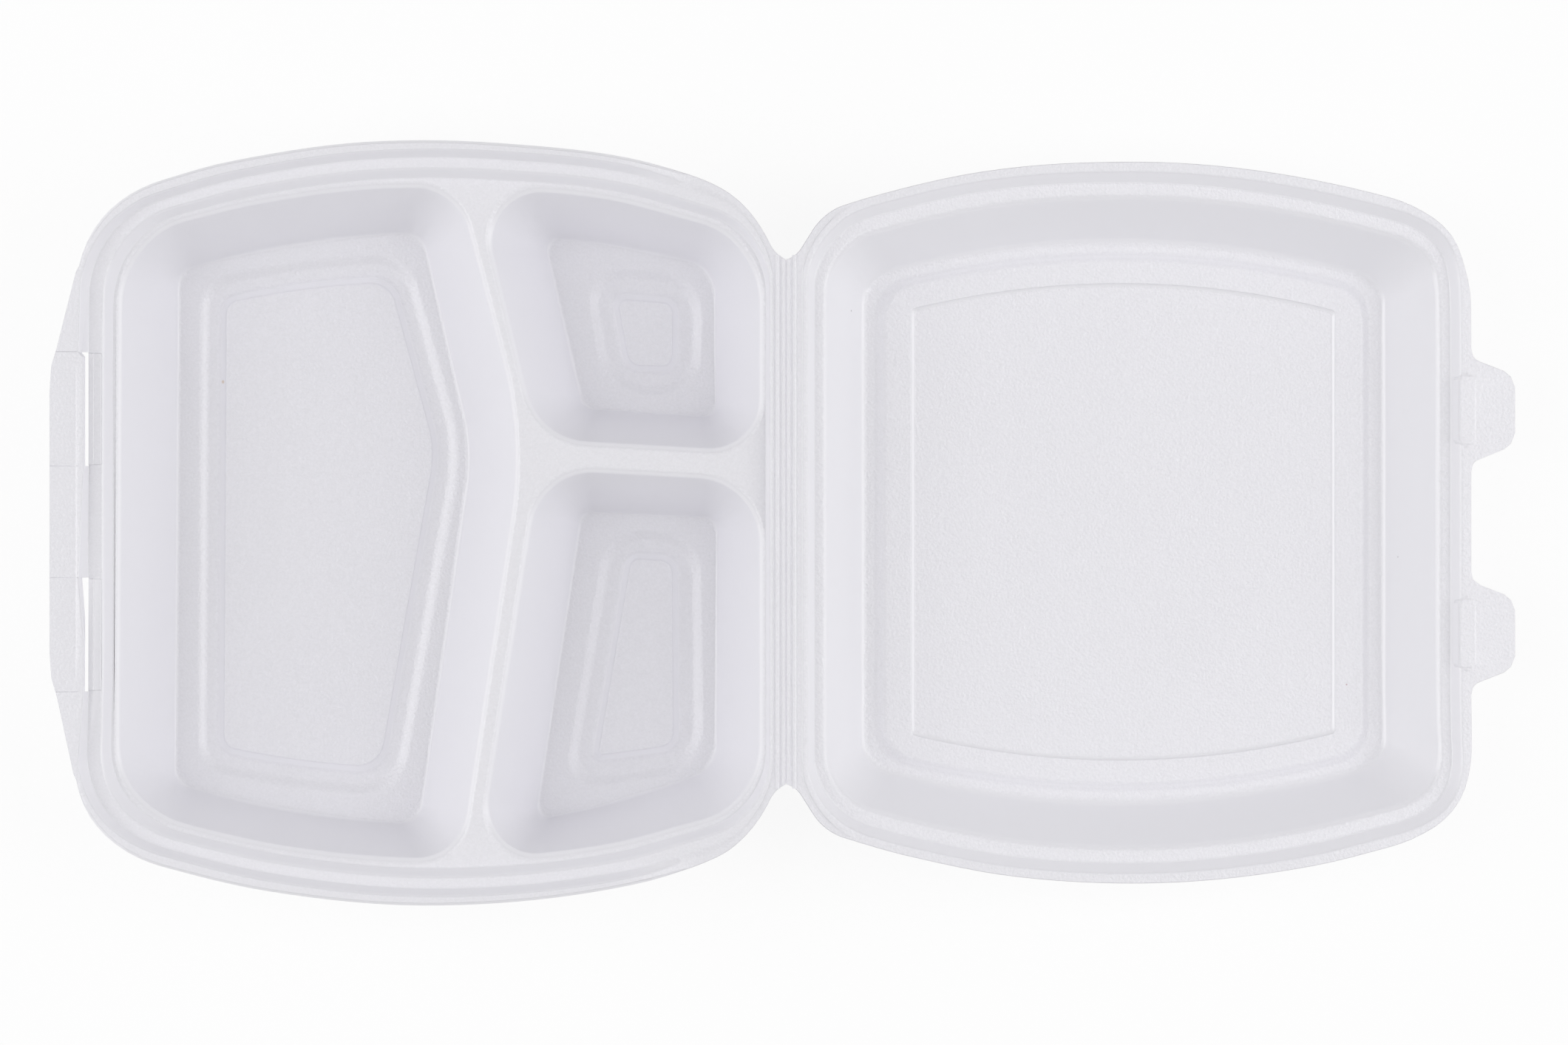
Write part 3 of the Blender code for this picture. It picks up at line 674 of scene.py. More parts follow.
def side_place(x, half_width):
    """Distance from the middle line to the bulging long side, at distance x from the fold."""
    return half_width - (x - CROWN) ** 2 / (2 * SIDE_ARC)


def four_corners(back, front, half_width, back_reach, front_reach):
    back_y = side_place(back, half_width)
    front_y = side_place(front, half_width)
    return [
        (front, front_y, front_reach),
        (front, -front_y, front_reach),
        (back, -back_y, back_reach),
        (back, back_y, back_reach),
    ]


def inside_step(shares):
    """Corners of a compartment from their shares of the room inside the tray's step."""
    placed = []
    for along, across, reach in shares:
        x = along * STEP_FRONT
        placed.append((x, across * side_place(x, STEP_HALF_WIDTH), reach * STEP_HALF_WIDTH))
    return placed


def at_base(points):
    """The tray lies on the negative side of the fold."""
    return [(-p[0], *p[1:]) for p in points]


# Rings round a centre: every outline of a rim is cut by the same rays


def ray_angles(outlines, centre):
    angles = sorted(
        math.atan2(p[1] - centre[1], p[0] - centre[0]) for points in outlines for p in points
    )
    kept = [angles[0]]
    for angle in angles[1:]:
        if angle - kept[-1] > SAME_ANGLE:
            kept.append(angle)
    return kept


def on_ray(points, centre, angle):
    direction = (math.cos(angle), math.sin(angle))
    best = None
    for a, b in zip(points, points[1:] + points[:1]):
        a, b = minus(a, centre), minus(b, centre)
        side_a, side_b = cross(direction, a), cross(direction, b)
        if side_a * side_b > 0 or side_a == side_b:
            continue
        share = side_a / (side_a - side_b)
        point = mixed(a, b, share)
        reach = point[0] * direction[0] + point[1] * direction[1]
        if reach > 0 and (best is None or reach > best):
            best = reach
    return (centre[0] + direction[0] * best, centre[1] + direction[1] * best)


def ray_ring(points, centre, angles):
    return [on_ray(points, centre, angle) for angle in angles]


def held_inside(place, limit, centre, edge_width):
    """The place, or the nearest one on its ray that leaves the edge this width."""
    out = length(minus(place, centre))
    share = min(out, length(minus(limit, centre)) - edge_width) / out
    return mixed(centre, place, share)


def at_level(ring, level):
    return [(p[0], p[1], level) for p in ring]


def along(a, b, distance):
    """The point this far from a towards b, and never past the middle."""
    a, b = Vector(a), Vector(b)
    span = (b - a).length
    if span == 0:
        return a
    return a.lerp(b, min(distance / span, 0.5))


def soften(rings, rounds):
    """More rings, so that each corner of the section is a curve of its own reach."""
    made = [[Vector(p) for p in rings[0]]]
    for i in range(1, len(rings) - 1):
        if rounds[i] == 0:
            made.append([Vector(p) for p in rings[i]])
            continue
        starts = [along(p, q, rounds[i]) for p, q in zip(rings[i], rings[i - 1])]
        ends = [along(p, q, rounds[i]) for p, q in zip(rings[i], rings[i + 1])]
        for k in range(FILLET_PIECES + 1):
            t = k / FILLET_PIECES
            made.append(
                [
                    a * (1 - t) ** 2 + Vector(p) * (2 * t * (1 - t)) + b * t * t
                    for a, p, b in zip(starts, rings[i], ends)
                ]
            )
    made.append([Vector(p) for p in rings[-1]])
    return made


def loft(name, rings):
    """Closed mesh through rings of equally many points, with a flat face on the first and last."""
    mesh = bpy.data.meshes.new(name)
    built = bmesh.new()
    rows = [[built.verts.new(p) for p in ring] for ring in rings]
    count = len(rows[0])
    for lower, upper in zip(rows, rows[1:]):
        for i in range(count):
            j = (i + 1) % count
            built.faces.new((lower[i], lower[j], upper[j], upper[i]))
    built.faces.new(rows[0])
    built.faces.new(rows[-1])
    bmesh.ops.recalc_face_normals(built, faces=built.faces)
    if built.calc_volume(signed=True) < 0:
        bmesh.ops.reverse_faces(built, faces=built.faces)
    built.to_mesh(mesh)
    built.free()
    obj = bpy.data.objects.new(name, mesh)
    bpy.context.scene.collection.objects.link(obj)
    return obj


def boolean(obj, operation, other):
    made = obj.modifiers.new(f"{operation.lower()} {other.name}", "BOOLEAN")
    made.operation = operation
    made.solver = "EXACT"
    made.object = other


def finished(obj, helpers):
    """The object's mesh with its modifiers worked in and its place in the mesh itself."""
    graph = bpy.context.evaluated_depsgraph_get()
    mesh = bpy.data.meshes.new_from_object(obj.evaluated_get(graph))
    mesh.transform(obj.matrix_world)
    obj.modifiers.clear()
    obj.data = mesh
    obj.matrix_world = Matrix.Identity(4)
    for helper in helpers:
        bpy.data.objects.remove(helper, do_unlink=True)
    return obj


def shaded(obj):
    """Smooth shading that follows the large faces and stays crisp at the trimmed edges."""
    mesh = obj.data
    for polygon in mesh.polygons:
        polygon.use_smooth = True
    mesh.set_sharp_from_angle(angle=SHARP_ANGLE)
    weighted = obj.modifiers.new("weighted normals", "WEIGHTED_NORMAL")
    weighted.keep_sharp = True
    return finished(obj, [])


def mark_unstretched(obj, turn_back):
    """Stores where the sheet kept its grain: on the level faces, and not on the drawn walls, which
    the colour paints lighter as painted light.
    """
    mesh = obj.data
    sums = [Vector() for _ in mesh.vertices]
    for polygon in mesh.polygons:
        for index in polygon.vertices:
            sums[index] += polygon.normal * polygon.area
    steepest = math.cos(GRAIN_LOST)
    flattest = math.cos(GRAIN_KEPT)
    values = []
    for total in sums:
        level = abs((turn_back @ total).normalized().z) if total.length > 0 else 0
        values.append(eased(clamped((level - steepest) / (flattest - steepest))))
    attribute = mesh.attributes.new("unstretched", "FLOAT", "POINT")
    attribute.data.foreach_set("value", values)


def foamed(obj, place, foam):
    """The piece put in its place, its grain marked as it lay in the mould, and made of foam."""
    obj.data.transform(place)
    mark_unstretched(obj, place.to_3x3().inverted())
    obj.data.materials.clear()
    obj.data.materials.append(foam)
    return shaded(obj)


def trim_to_sample(mesh, side, reaches):
    """Moves the rim out or in by direction, as the trimming of the real box leaves it uneven."""
    for vertex in mesh.vertices:
        out, across = side * vertex.co.x - CROWN, vertex.co.y
        share = max(abs(out) / CROWN, abs(across) / BASE_HALF_WIDTH)
        share = clamped((share - TRIM_FADE_START) / (TRIM_FADE_END - TRIM_FADE_START))
        if share == 0:
            continue
        turn = math.degrees(math.atan2(across, out))
        more = 0
        for (a, reach_a), (b, reach_b) in zip(reaches, reaches[1:]):
            if a <= turn < b:
                more = reach_a + (reach_b - reach_a) * eased((turn - a) / (b - a))
        push = more * MM * eased(share) / math.hypot(out, across)
        vertex.co.x += side * out * push
        vertex.co.y += across * push


# The tray


def rise(x):
    """How much of the full lift the raised flange has, at this distance from the fold."""
    return eased(clamped((x - RAMP_START) / (RAMP_END - RAMP_START)))


def with_lip(points):
    """The rim outline with its straight front pushed out to the lip."""
    half = side_place(BASE_FRONT, BASE_HALF_WIDTH)
    upper = [(BASE_FRONT + out * LIP_REACH, across * half) for out, across in LIP_SHARES]
    lower = [(x, -y) for x, y in reversed(upper)]
    kept = [p for p in points if not (p[0] > LEDGE_FRONT and abs(p[1]) <= upper[0][1])]
    split = next(i for i, p in enumerate(kept) if p[1] < 0)
    return kept[:split] + upper + lower + kept[split:]


def rim_outline(front_corner, shoulder, shoulder_arc, notch, fold):
    """Outer edge of a half: its front corner, the shoulder and the notch at the fold's end."""
    upper = [(fold, FOLD_HALF_LENGTH, 0), notch, shoulder, front_corner]
    lower = [(x, -y, reach) for x, y, reach in reversed(upper)]
    radii = [SIDE_ARC, shoulder_arc, 0, 0, 0, shoulder_arc, SIDE_ARC, 0]
    points = outline(lower + upper, radii)
    return sorted(points, key=lambda p: -math.atan2(p[1], p[0] - CROWN))


def base_rim(fold, has_lip=True):
    shoulder_y = BASE_SHOULDER_SHARE * side_place(BASE_SHOULDER, BASE_HALF_WIDTH)
    points = rim_outline(
        (BASE_FRONT, side_place(BASE_FRONT, BASE_HALF_WIDTH), BASE_FRONT_REACH),
        (BASE_SHOULDER, shoulder_y, BASE_SHOULDER_REACH),
        BASE_SHOULDER_ARC,
        (BASE_NOTCH, FOLD_HALF_LENGTH + BASE_NOTCH_RUN, NOTCH_REACH),
        fold,
    )
    return at_base(with_lip(points) if has_lip else points)


def base_four(back, front, half_width, back_reach, front_reach):
    corners = four_corners(back, front, half_width, back_reach, front_reach)
    return at_base(outline(corners, (0, SIDE_ARC, 0, SIDE_ARC)))


def base_rings():
    """Rings of the tray's rim, from the divider tops out to the edge and back underneath."""
    drop = bpy.context.scene.foam_fold.strip_drop
    lip_reaches = (LIP_BACK_REACH, LIP_FRONT_REACH)
    ledge_reaches = (LEDGE_BACK_REACH, LEDGE_FRONT_REACH)
    step_reaches = (STEP_BACK_REACH, STEP_FRONT_REACH)
    lip = base_four(STRIP_BACK, LIP_FRONT, LIP_HALF_WIDTH, *lip_reaches)
    ledge = base_four(BEAD_BACK, LEDGE_FRONT, LEDGE_HALF_WIDTH, *ledge_reaches)
    step = base_four(BEAD_FRONT, STEP_FRONT, STEP_HALF_WIDTH, *step_reaches)
    deck, deck_inner = (
        base_four(
            DECK_BACK + more,
            STEP_FRONT - STEP_WALL - more,
            STEP_HALF_WIDTH - STEP_WALL - more,
            *step_reaches,
        )
        for more in (0, DECK_FILLET)
    )
    lip_under = base_four(
        LIP_BACK, LIP_FRONT + WALL_BACKING, LIP_HALF_WIDTH + WALL_BACKING, *lip_reaches
    )
    ledge_under = base_four(
        LEDGE_BACK, LEDGE_FRONT + WALL_BACKING, LEDGE_HALF_WIDTH + WALL_BACKING, *ledge_reaches
    )
    step_under, step_low = (
        base_four(STEP_BACK - more, STEP_FRONT + more, STEP_HALF_WIDTH + more, *step_reaches)
        for more in (STEP_BACKING, 0)
    )
    edge = base_rim(FOLD_GAP / 2)
    edge_under = base_rim(FOLD_UNDERCUT)
    plain = base_rim(FOLD_GAP / 2, has_lip=False)
    centre = (-CROWN, 0)
    marks = [
        (-LIP_FRONT, side * (TAB_CENTRE + end * SLOT_HALF_LENGTH + end * fade))
        for side in (1, -1)
        for end in (1, -1)
        for fade in (-SLOT_END_FADE, 0)
    ]
    angles = ray_angles((edge, step, marks), centre)
    limits = ray_ring(edge_under, centre, angles)

    def ring(points, level, lift=0, droop=0, drop=0, edge_width=LEAST_EDGE):
        made = []
        for place, limit in zip(ray_ring(points, centre, angles), limits):
            x, y = place
            if edge_width > 0:
                x, y = held_inside(place, limit, centre, edge_width)
            share = rise(-x)
            on_side = clamped((LIP_FRONT + x) / (LIP_FRONT - STEP_FRONT))
            height = level + share * (lift - droop * on_side) - drop * (1 - share)
            made.append((x, y, height))
        return made

    def crease(shift, depth, edge_width):
        """A line pressed across the lip, along the tray's straight front."""
        made = []
        for x, y, z in ring(plain, rim, LIP_LIFT, 0, drop, edge_width):
            inside = CREASE_HALF_LENGTH - abs(y)
            on_lip = clamped(inside / CREASE_FADE) if x < -LIP_FRONT else 0
            made.append((x - shift * on_lip, y, z - depth * on_lip))
        return made

    def over_slots(rim_ring):
        """The ring with the lip's inner edge drawn in over the slots."""
        made = []
        for x, y, z in rim_ring:
            inside = SLOT_HALF_LENGTH - abs(abs(y) - TAB_CENTRE)
            share = clamped(inside / SLOT_END_FADE) if x < -LEDGE_FRONT else 0
            made.append((x + share * SLOT_LIP_REACH, y, z))
        return made

    rim = RIM_HEIGHT
    top_deck = rim - DECK_DROP
    under = rim - SHEET
    lip_ring = over_slots(ring(lip, rim, LIP_LIFT, 0, drop, LIP_EDGE))
    keys = (
        (ring(deck_inner, top_deck), 0),
        (ring(deck, top_deck), DECK_FILLET),
        (ring(step, rim), STEP_ROUND),
        (ring(ledge, rim), LEDGE_FILLET),
        (lip_ring, LIP_ROUND),
        *((crease(*line), 0) for line in CREASE_SECTION),
        (ring(edge, rim, LIP_LIFT, FLANGE_DROOP, drop, 0), TRIM_ROUND),
        (ring(edge_under, under, LIP_LIFT, FLANGE_DROOP, 0, 0), TRIM_ROUND),
        (ring(lip_under, under, LIP_LIFT), UNDER_ROUND),
        (ring(ledge_under, under), UNDER_ROUND),
        (ring(step_under, under), UNDER_ROUND),
        (ring(step_low, top_deck - SHEET), 0),
    )
    return soften([key[0] for key in keys], [key[1] for key in keys])


def compartment_rings(shares, arcs, is_cutter):
    """Rings down one compartment: the inside as a cutter, or the outside of its foam wall."""
    mouth, foot, ring = (inside_step(rows) for rows in shares)
    ring_edge, more = ring, LARGE_RING_MORE
    if len(ring) == 4:
        more = SMALL_RING_MORE
        ring_edge = [(x, y, reach * RING_ROUNDER) for x, y, reach in ring]
    back = 0 if is_cutter else SHEET
    half_back = back * BACK_SHARE
    deck = RIM_HEIGHT - DECK_DROP
    floor = SHEET + FOOT_DEPTH
    panel = floor + PANEL_RISE
    mouth_arcs = [SIDE_ARC * MOUTH_ARC_SHARE if bulges else 0 for bulges in arcs]
    foot_arcs = [SIDE_ARC * FOOT_ARC_SHARE if bulges else 0 for bulges in arcs]
    shapes = []
    if is_cutter:
        shapes.append((mouth, -MOUTH_OUTSET, mouth_arcs, deck + CUTTER_TOP, 0))
        for k in range(MOUTH_ROUND_PIECES + 1):
            share = k / MOUTH_ROUND_PIECES
            angle = MOUTH_ROUND_START + (MOUTH_ROUND_ANGLE - MOUTH_ROUND_START) * share
            run = math.sin(angle) - math.sin(MOUTH_ROUND_START)
            fall = math.cos(MOUTH_ROUND_START) - math.cos(angle)
            inwards = MOUTH_ROUND * run - MOUTH_OUTSET
            level = deck - MOUTH_ROUND * fall
            shapes.append((mouth, inwards, mouth_arcs, level, 0))
    else:
        shapes.append((mouth, -back, mouth_arcs, deck - SHEET / 2, 0))
        shapes.append((mouth, MOUTH_ROUND_INSET - back, mouth_arcs, deck - MOUTH_ROUND_END, 0))
    shapes += [
        (foot, -back * FOOT_BACK_SHARE, foot_arcs, floor - back, FOOT_ROUND),
        (ring_edge, -half_back, foot_arcs, floor - back, RING_EDGE_ROUND),
    ]
    if is_cutter:
        channel = SHEET + CHANNEL_FILL
        shapes += [
            (ring_edge, CHANNEL_START, foot_arcs, channel, RING_FLOOR_ROUND),
            (ring, CHANNEL_END + more, foot_arcs, channel, RING_FLOOR_ROUND),
            (ring, PANEL_START + more, foot_arcs, panel, PANEL_EDGE_ROUND),
            (ring, PANEL_START + more + PANEL_EDGE_ROUND, foot_arcs, panel, 0),
        ]
    else:
        edge = PANEL_START + more + half_back / 2
        shapes += [
            (ring, RING_SLOPE - half_back, foot_arcs, 0, RING_FLOOR_ROUND),
            (ring, RING_FLOOR + half_back / 2 + more / 2, foot_arcs, 0, RING_FLOOR_ROUND),
            (ring, edge, foot_arcs, panel - back, PANEL_EDGE_ROUND),
            (ring, edge + PANEL_UNDER_RUN, foot_arcs, panel - back, 0),
        ]
    rings = []
    for corners, distance, radii, level, _ in shapes:
        moved = inset(corners, distance)
        rings.append(at_level(at_base(outline(moved, radii)), level))
    return soften(rings, [shape[4] for shape in shapes])


# Name, corner shares of the mouth, the floor's edge and the channel, and which edges bulge
COMPARTMENTS = (
    (
        "large",
        (LARGE_MOUTH_SHARES, LARGE_FOOT_SHARES, LARGE_RING_SHARES),
        (False, True, False, False, True),
    ),
    (
        "upper",
        (UPPER_MOUTH_SHARES, UPPER_FOOT_SHARES, UPPER_RING_SHARES),
        (False, False, False, True),
    ),
    (
        "lower",
        (LOWER_MOUTH_SHARES, LOWER_FOOT_SHARES, LOWER_RING_SHARES),
        (False, True, False, False),
    ),
)


def slot_section():
    """Section of one slot: a narrow slit open to the top, and room for the tab under the lip."""
    low = RIM_HEIGHT - SLOT_OVERCUT
    under_lip = RIM_HEIGHT + LIP_LIFT - SHEET + SLOT_HEADROOM
    high = RIM_HEIGHT + LIP_LIFT + SLOT_OVERCUT
    outer = SLOT_INNER + SLIT_WIDTH
    undercut = LIP_FRONT + SLOT_OVERCUT
    return (
        (-SLOT_INNER, low),
        (-SLOT_INNER, high),
        (-outer, high),
        (-outer, under_lip),
        (-undercut, under_lip),
        (-undercut, low),
    )


def box_corners(low, high, half):
    return ((low, -half), (high, -half), (high, half), (low, half))


def block_rings(middle, back, rise_here):
    """Rings of a low block that lifts the ledge behind one slot."""
    top = RIM_HEIGHT + rise_here
    levels = (
        (0, RIM_HEIGHT - SHEET / 2),
        (0, top - SLOT_PAD_ROUND),
        (SLOT_PAD_BEVEL, top - SLOT_PAD_BEVEL),
        (SLOT_PAD_ROUND, top),
    )
    rings = []
    for shrink, level in levels:
        low, high = -SLOT_INNER - SLIT_WIDTH / 2, -back - shrink
        half = SLOT_HALF_LENGTH - SLOT_PAD_END - shrink
        rings.append([(x, middle + y, level) for x, y in box_corners(low, high, half)])
    return rings


def line_rings(across):
    """A shallow line pressed across the lip, from its edge to the end of a slot."""
    top = RIM_HEIGHT + LIP_LIFT
    section = (
        (-LINE_HALF_WIDTH, top + LINE_DEPTH),
        (LINE_HALF_WIDTH, top + LINE_DEPTH),
        (0, top - LINE_DEPTH),
    )
    reach = (-BASE_FRONT - LIP_REACH - LINE_OVERRUN, -LIP_FRONT)
    return [[(x, across + y, z) for y, z in section] for x in reach]


def build_tray(foam):
    tray = loft("tray_foam", base_rings())
    cutters = []
    for operation, is_cutter in (("UNION", False), ("DIFFERENCE", True)):
        for name, shares, arcs in COMPARTMENTS:
            piece = loft(f"{name}_{operation}", compartment_rings(shares, arcs, is_cutter))
            boolean(tray, operation, piece)
            cutters.append(piece)
    for side in (1, -1):
        middle = side * TAB_CENTRE
        for name, rings in (
            ("step_pad", block_rings(middle, SLOT_PAD_BACK, SLOT_PAD_RISE)),
            ("strip_pad", block_rings(middle, SLOT_STRIP_BACK, SLOT_STRIP_RISE)),
        ):
            piece = loft(f"{name}_{side}", rings)
            boolean(tray, "UNION", piece)
            cutters.append(piece)
        ends = (middle - SLOT_HALF_LENGTH, middle + SLOT_HALF_LENGTH)
        rings = [[(x, y, z) for x, z in slot_section()] for y in ends]
        piece = loft(f"slot_{side}", rings)
        boolean(tray, "DIFFERENCE", piece)
        cutters.append(piece)
        for end in ends:
            piece = loft(f"line_{end:.3f}", line_rings(end))
            boolean(tray, "DIFFERENCE", piece)
            cutters.append(piece)
    finished(tray, cutters)
    trim_to_sample(tray.data, -1, TRAY_TRIM)
    return foamed(tray, tray_place(), foam)


# The lid, built flat about the axis of the fold and then turned down until it rests


def fold_place():
    """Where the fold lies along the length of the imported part."""
    return frame["joints"][0]["pos_m"][0]


def axis_height():
    return frame["joints"][0]["pos_m"][2]


def tray_place():
    return Matrix.Translation((fold_place(), 0, 0))


def with_tabs(points):
    """The rim outline with its straight front carrying the two tabs."""
    shape = [(LID_FRONT + out * TAB_LENGTH, half * TAB_HALF_WIDTH) for out, half in TAB_SHARES]
    reach = TAB_CENTRE + shape[0][1]
    kept = [p for p in points if not (p[0] > FLANGE_FRONT and abs(p[1]) <= reach)]
    upper_tab = [(x, TAB_CENTRE + half) for x, half in shape]
    upper_tab += [(x, TAB_CENTRE - half) for x, half in reversed(shape)]
    lower_tab = [(x, -y) for x, y in reversed(upper_tab)]
    split = next(i for i, p in enumerate(kept) if p[1] < 0)
    return kept[:split] + upper_tab + lower_tab + kept[split:]


def lid_rim(fold):
    shoulder_y = LID_SHOULDER_SHARE * side_place(LID_SHOULDER, LID_HALF_WIDTH)
    points = rim_outline(
        (LID_FRONT, side_place(LID_FRONT, LID_HALF_WIDTH), LID_FRONT_REACH),
        (LID_SHOULDER, shoulder_y, LID_SHOULDER_REACH),
        0,
        (LID_NOTCH, FOLD_HALF_LENGTH + LID_NOTCH_RUN, NOTCH_REACH),
        fold,
    )
    return with_tabs(points)


def lid_profile():
    """Upper face of the lid: inset from the flange's inner edge, drop below the rim, rounding."""
    margin = LID_DEPTH - LID_MARGIN_RISE
    panel = margin + LID_PANEL_DROP
    return [
        (LID_SHOULDER_RUN / 2, 0, LID_EDGE_ROUND),
        (LID_STEP_RUN, LID_STEP, LID_STEP_FILLET),
        (LID_LEDGE_END + LID_LEDGE_MORE, LID_STEP, LID_LEDGE_SHOULDER),
        (LID_WALL_FOOT, LID_DEPTH, LID_FOOT_ROUND),
        (LID_MOAT_END, LID_DEPTH, LID_MARGIN_ROUND),
        (LID_MARGIN_START, margin, LID_MARGIN_ROUND),
        (LID_PANEL_START, margin, LID_PANEL_ROUND),
        (LID_PANEL_START + LID_BORDER_RUN, panel, LID_PANEL_ROUND),
        (LID_PANEL_END + LID_MARGIN_ROUND, panel, 0),
    ]


def backed(profile, thickness):
    """The same profile on the other face of the sheet."""
    made = []
    for i, point in enumerate(profile):
        before = profile[max(i - 1, 0)]
        after = profile[min(i + 1, len(profile) - 1)]
        normals = []
        for a, b in ((before, point), (point, after)):
            run = minus(b, a)
            if length(run) > 0:
                normals.append((-run[1] / length(run), run[0] / length(run)))
        across = tuple(sum(n[k] for n in normals) / len(normals) for k in (0, 1))
        size = across[0] ** 2 + across[1] ** 2
        made.append(tuple(point[k] + across[k] * thickness / size for k in (0, 1)))
    return made


def lid_rings():
    flat = RIM_HEIGHT - axis_height()
    drop = bpy.context.scene.foam_fold.strip_drop
    flange = four_corners(
        FLANGE_BACK, FLANGE_FRONT, FLANGE_HALF_WIDTH, FLANGE_REACH, FLANGE_REACH
    )
    centre = (CROWN, 0)

    def contour(distance):
        radii = (0, SIDE_ARC - distance, 0, SIDE_ARC - distance)
        corners = inset(flange, distance)
        if distance < LID_PANEL_START:
            corners = [(x, y, max(reach, LID_LEAST_REACH)) for x, y, reach in corners]
        wider = max(distance - LID_LEDGE_END, 0) * LID_SIDE_GAIN
        corners = [(x, y + math.copysign(wider, y), reach) for x, y, reach in corners]
        return outline(corners, radii)

    edge = lid_rim(FOLD_GAP / 2)
    edge_under = lid_rim(FOLD_UNDERCUT)
    angles = ray_angles((edge, contour(LID_WALL_END), contour(LID_PANEL_END)), centre)
    limits = ray_ring(edge_under, centre, angles)

    def ring(points, level, drop=0, edge_width=0):
        made = []
        for place, limit in zip(ray_ring(points, centre, angles), limits):
            x, y = place
            if edge_width > 0:
                x, y = held_inside(place, limit, centre, edge_width)
            share = clamped((STRIP_FADE_END - x) / (STRIP_FADE_END - STRIP_FADE_START))
            made.append((x, y, level - drop * eased(share)))
        return made

    upper = lid_profile()
    lower = backed([p[:2] for p in upper], SHEET)
    keys = [(ring(contour(d), flat - down), r) for d, down, r in reversed(upper)]
    keys.append((ring(contour(-LID_BEAD_WIDTH), flat, 0, LID_BEAD_EDGE), LID_BEAD_ROUND))
    bead_foot = LID_BEAD_WIDTH + LID_BEAD_FOOT
    keys.append((ring(contour(-bead_foot), flat, drop, LID_STRIP_EDGE), LID_BEAD_ROUND))
    keys.append((ring(edge, flat, drop), TRIM_ROUND))
    keys.append((ring(edge_under, flat - SHEET), TRIM_ROUND))
    keys += [(ring(contour(d), flat - down), r) for (d, down), r in zip(lower, LID_UNDER_ROUNDS)]
    return soften([key[0] for key in keys], [key[1] for key in keys])


def lid_place():
    """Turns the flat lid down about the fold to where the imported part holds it."""
    lower = backed([p[:2] for p in LID_REST_PROFILE], SHEET)
    angles = []
    for distance, down in lower:
        across = FLANGE_FRONT - distance
        below = down + axis_height() - RIM_HEIGHT
        radius = math.hypot(across, below)
        meets = math.asin((axis_height() - TABLE_CLEARANCE) / radius)
        angles.append(meets - math.atan2(below, across))
    turn = Matrix.Rotation(min(angles), 4, "Y")
    return Matrix.Translation((fold_place(), 0, axis_height())) @ turn


def pad_rings(middle, flat):
    """Rings of the raised pad at the root of a tab, with softened upper edges."""
    levels = (
        (-PAD_SPREAD, flat - PAD_DEPTH),
        (-PAD_ROUND, flat),
        (0, flat + PAD_RISE * PAD_EDGE_SHARE),
        (PAD_ROUND, flat + PAD_RISE),
    )
    rings = []
    for shrink, level in levels:
        low = LID_FRONT - PAD_REACH_IN + shrink
        high = LID_FRONT + PAD_REACH_OUT - max(shrink, -PAD_ROUND)
        half = PAD_HALF_LENGTH - max(shrink, -PAD_ROUND)
        corners = [(x, middle + y, PAD_CORNER) for x, y in box_corners(low, high, half)]
        rings.append(at_level(outline(corners, (0, 0, 0, 0)), level))
    return rings


def build_lid(foam):
    flat = RIM_HEIGHT - axis_height()
    lid = loft("lid_foam", lid_rings())
    pads = [loft(f"pad_{side}", pad_rings(side * TAB_CENTRE, flat)) for side in (1, -1)]
    for pad in pads:
        boolean(lid, "UNION", pad)
    finished(lid, pads)
    trim_to_sample(lid.data, 1, LID_TRIM)
    return foamed(lid, lid_place(), foam)


# Node trees


def feed(tree, socket, value):
    """Links the socket to another node's output, or gives it a plain value."""
    if isinstance(value, bpy.types.NodeSocket):
        tree.links.new(value, socket)
    else:
        socket.default_value = value


def node(tree, kind, inputs=None, **values):
    made = tree.nodes.new(kind)
    for name, value in values.items():
        setattr(made, name, value)
    for name, value in (inputs or {}).items():
        feed(tree, made.inputs[name], value)
    return made


def maths(tree, operation, *terms, clamp=False):
    inputs = dict(enumerate(terms))
    return node(tree, "ShaderNodeMath", inputs, operation=operation, use_clamp=clamp).outputs[0]


# The fold: rounded ribs on both halves, made by one node tree, and the web between the halves


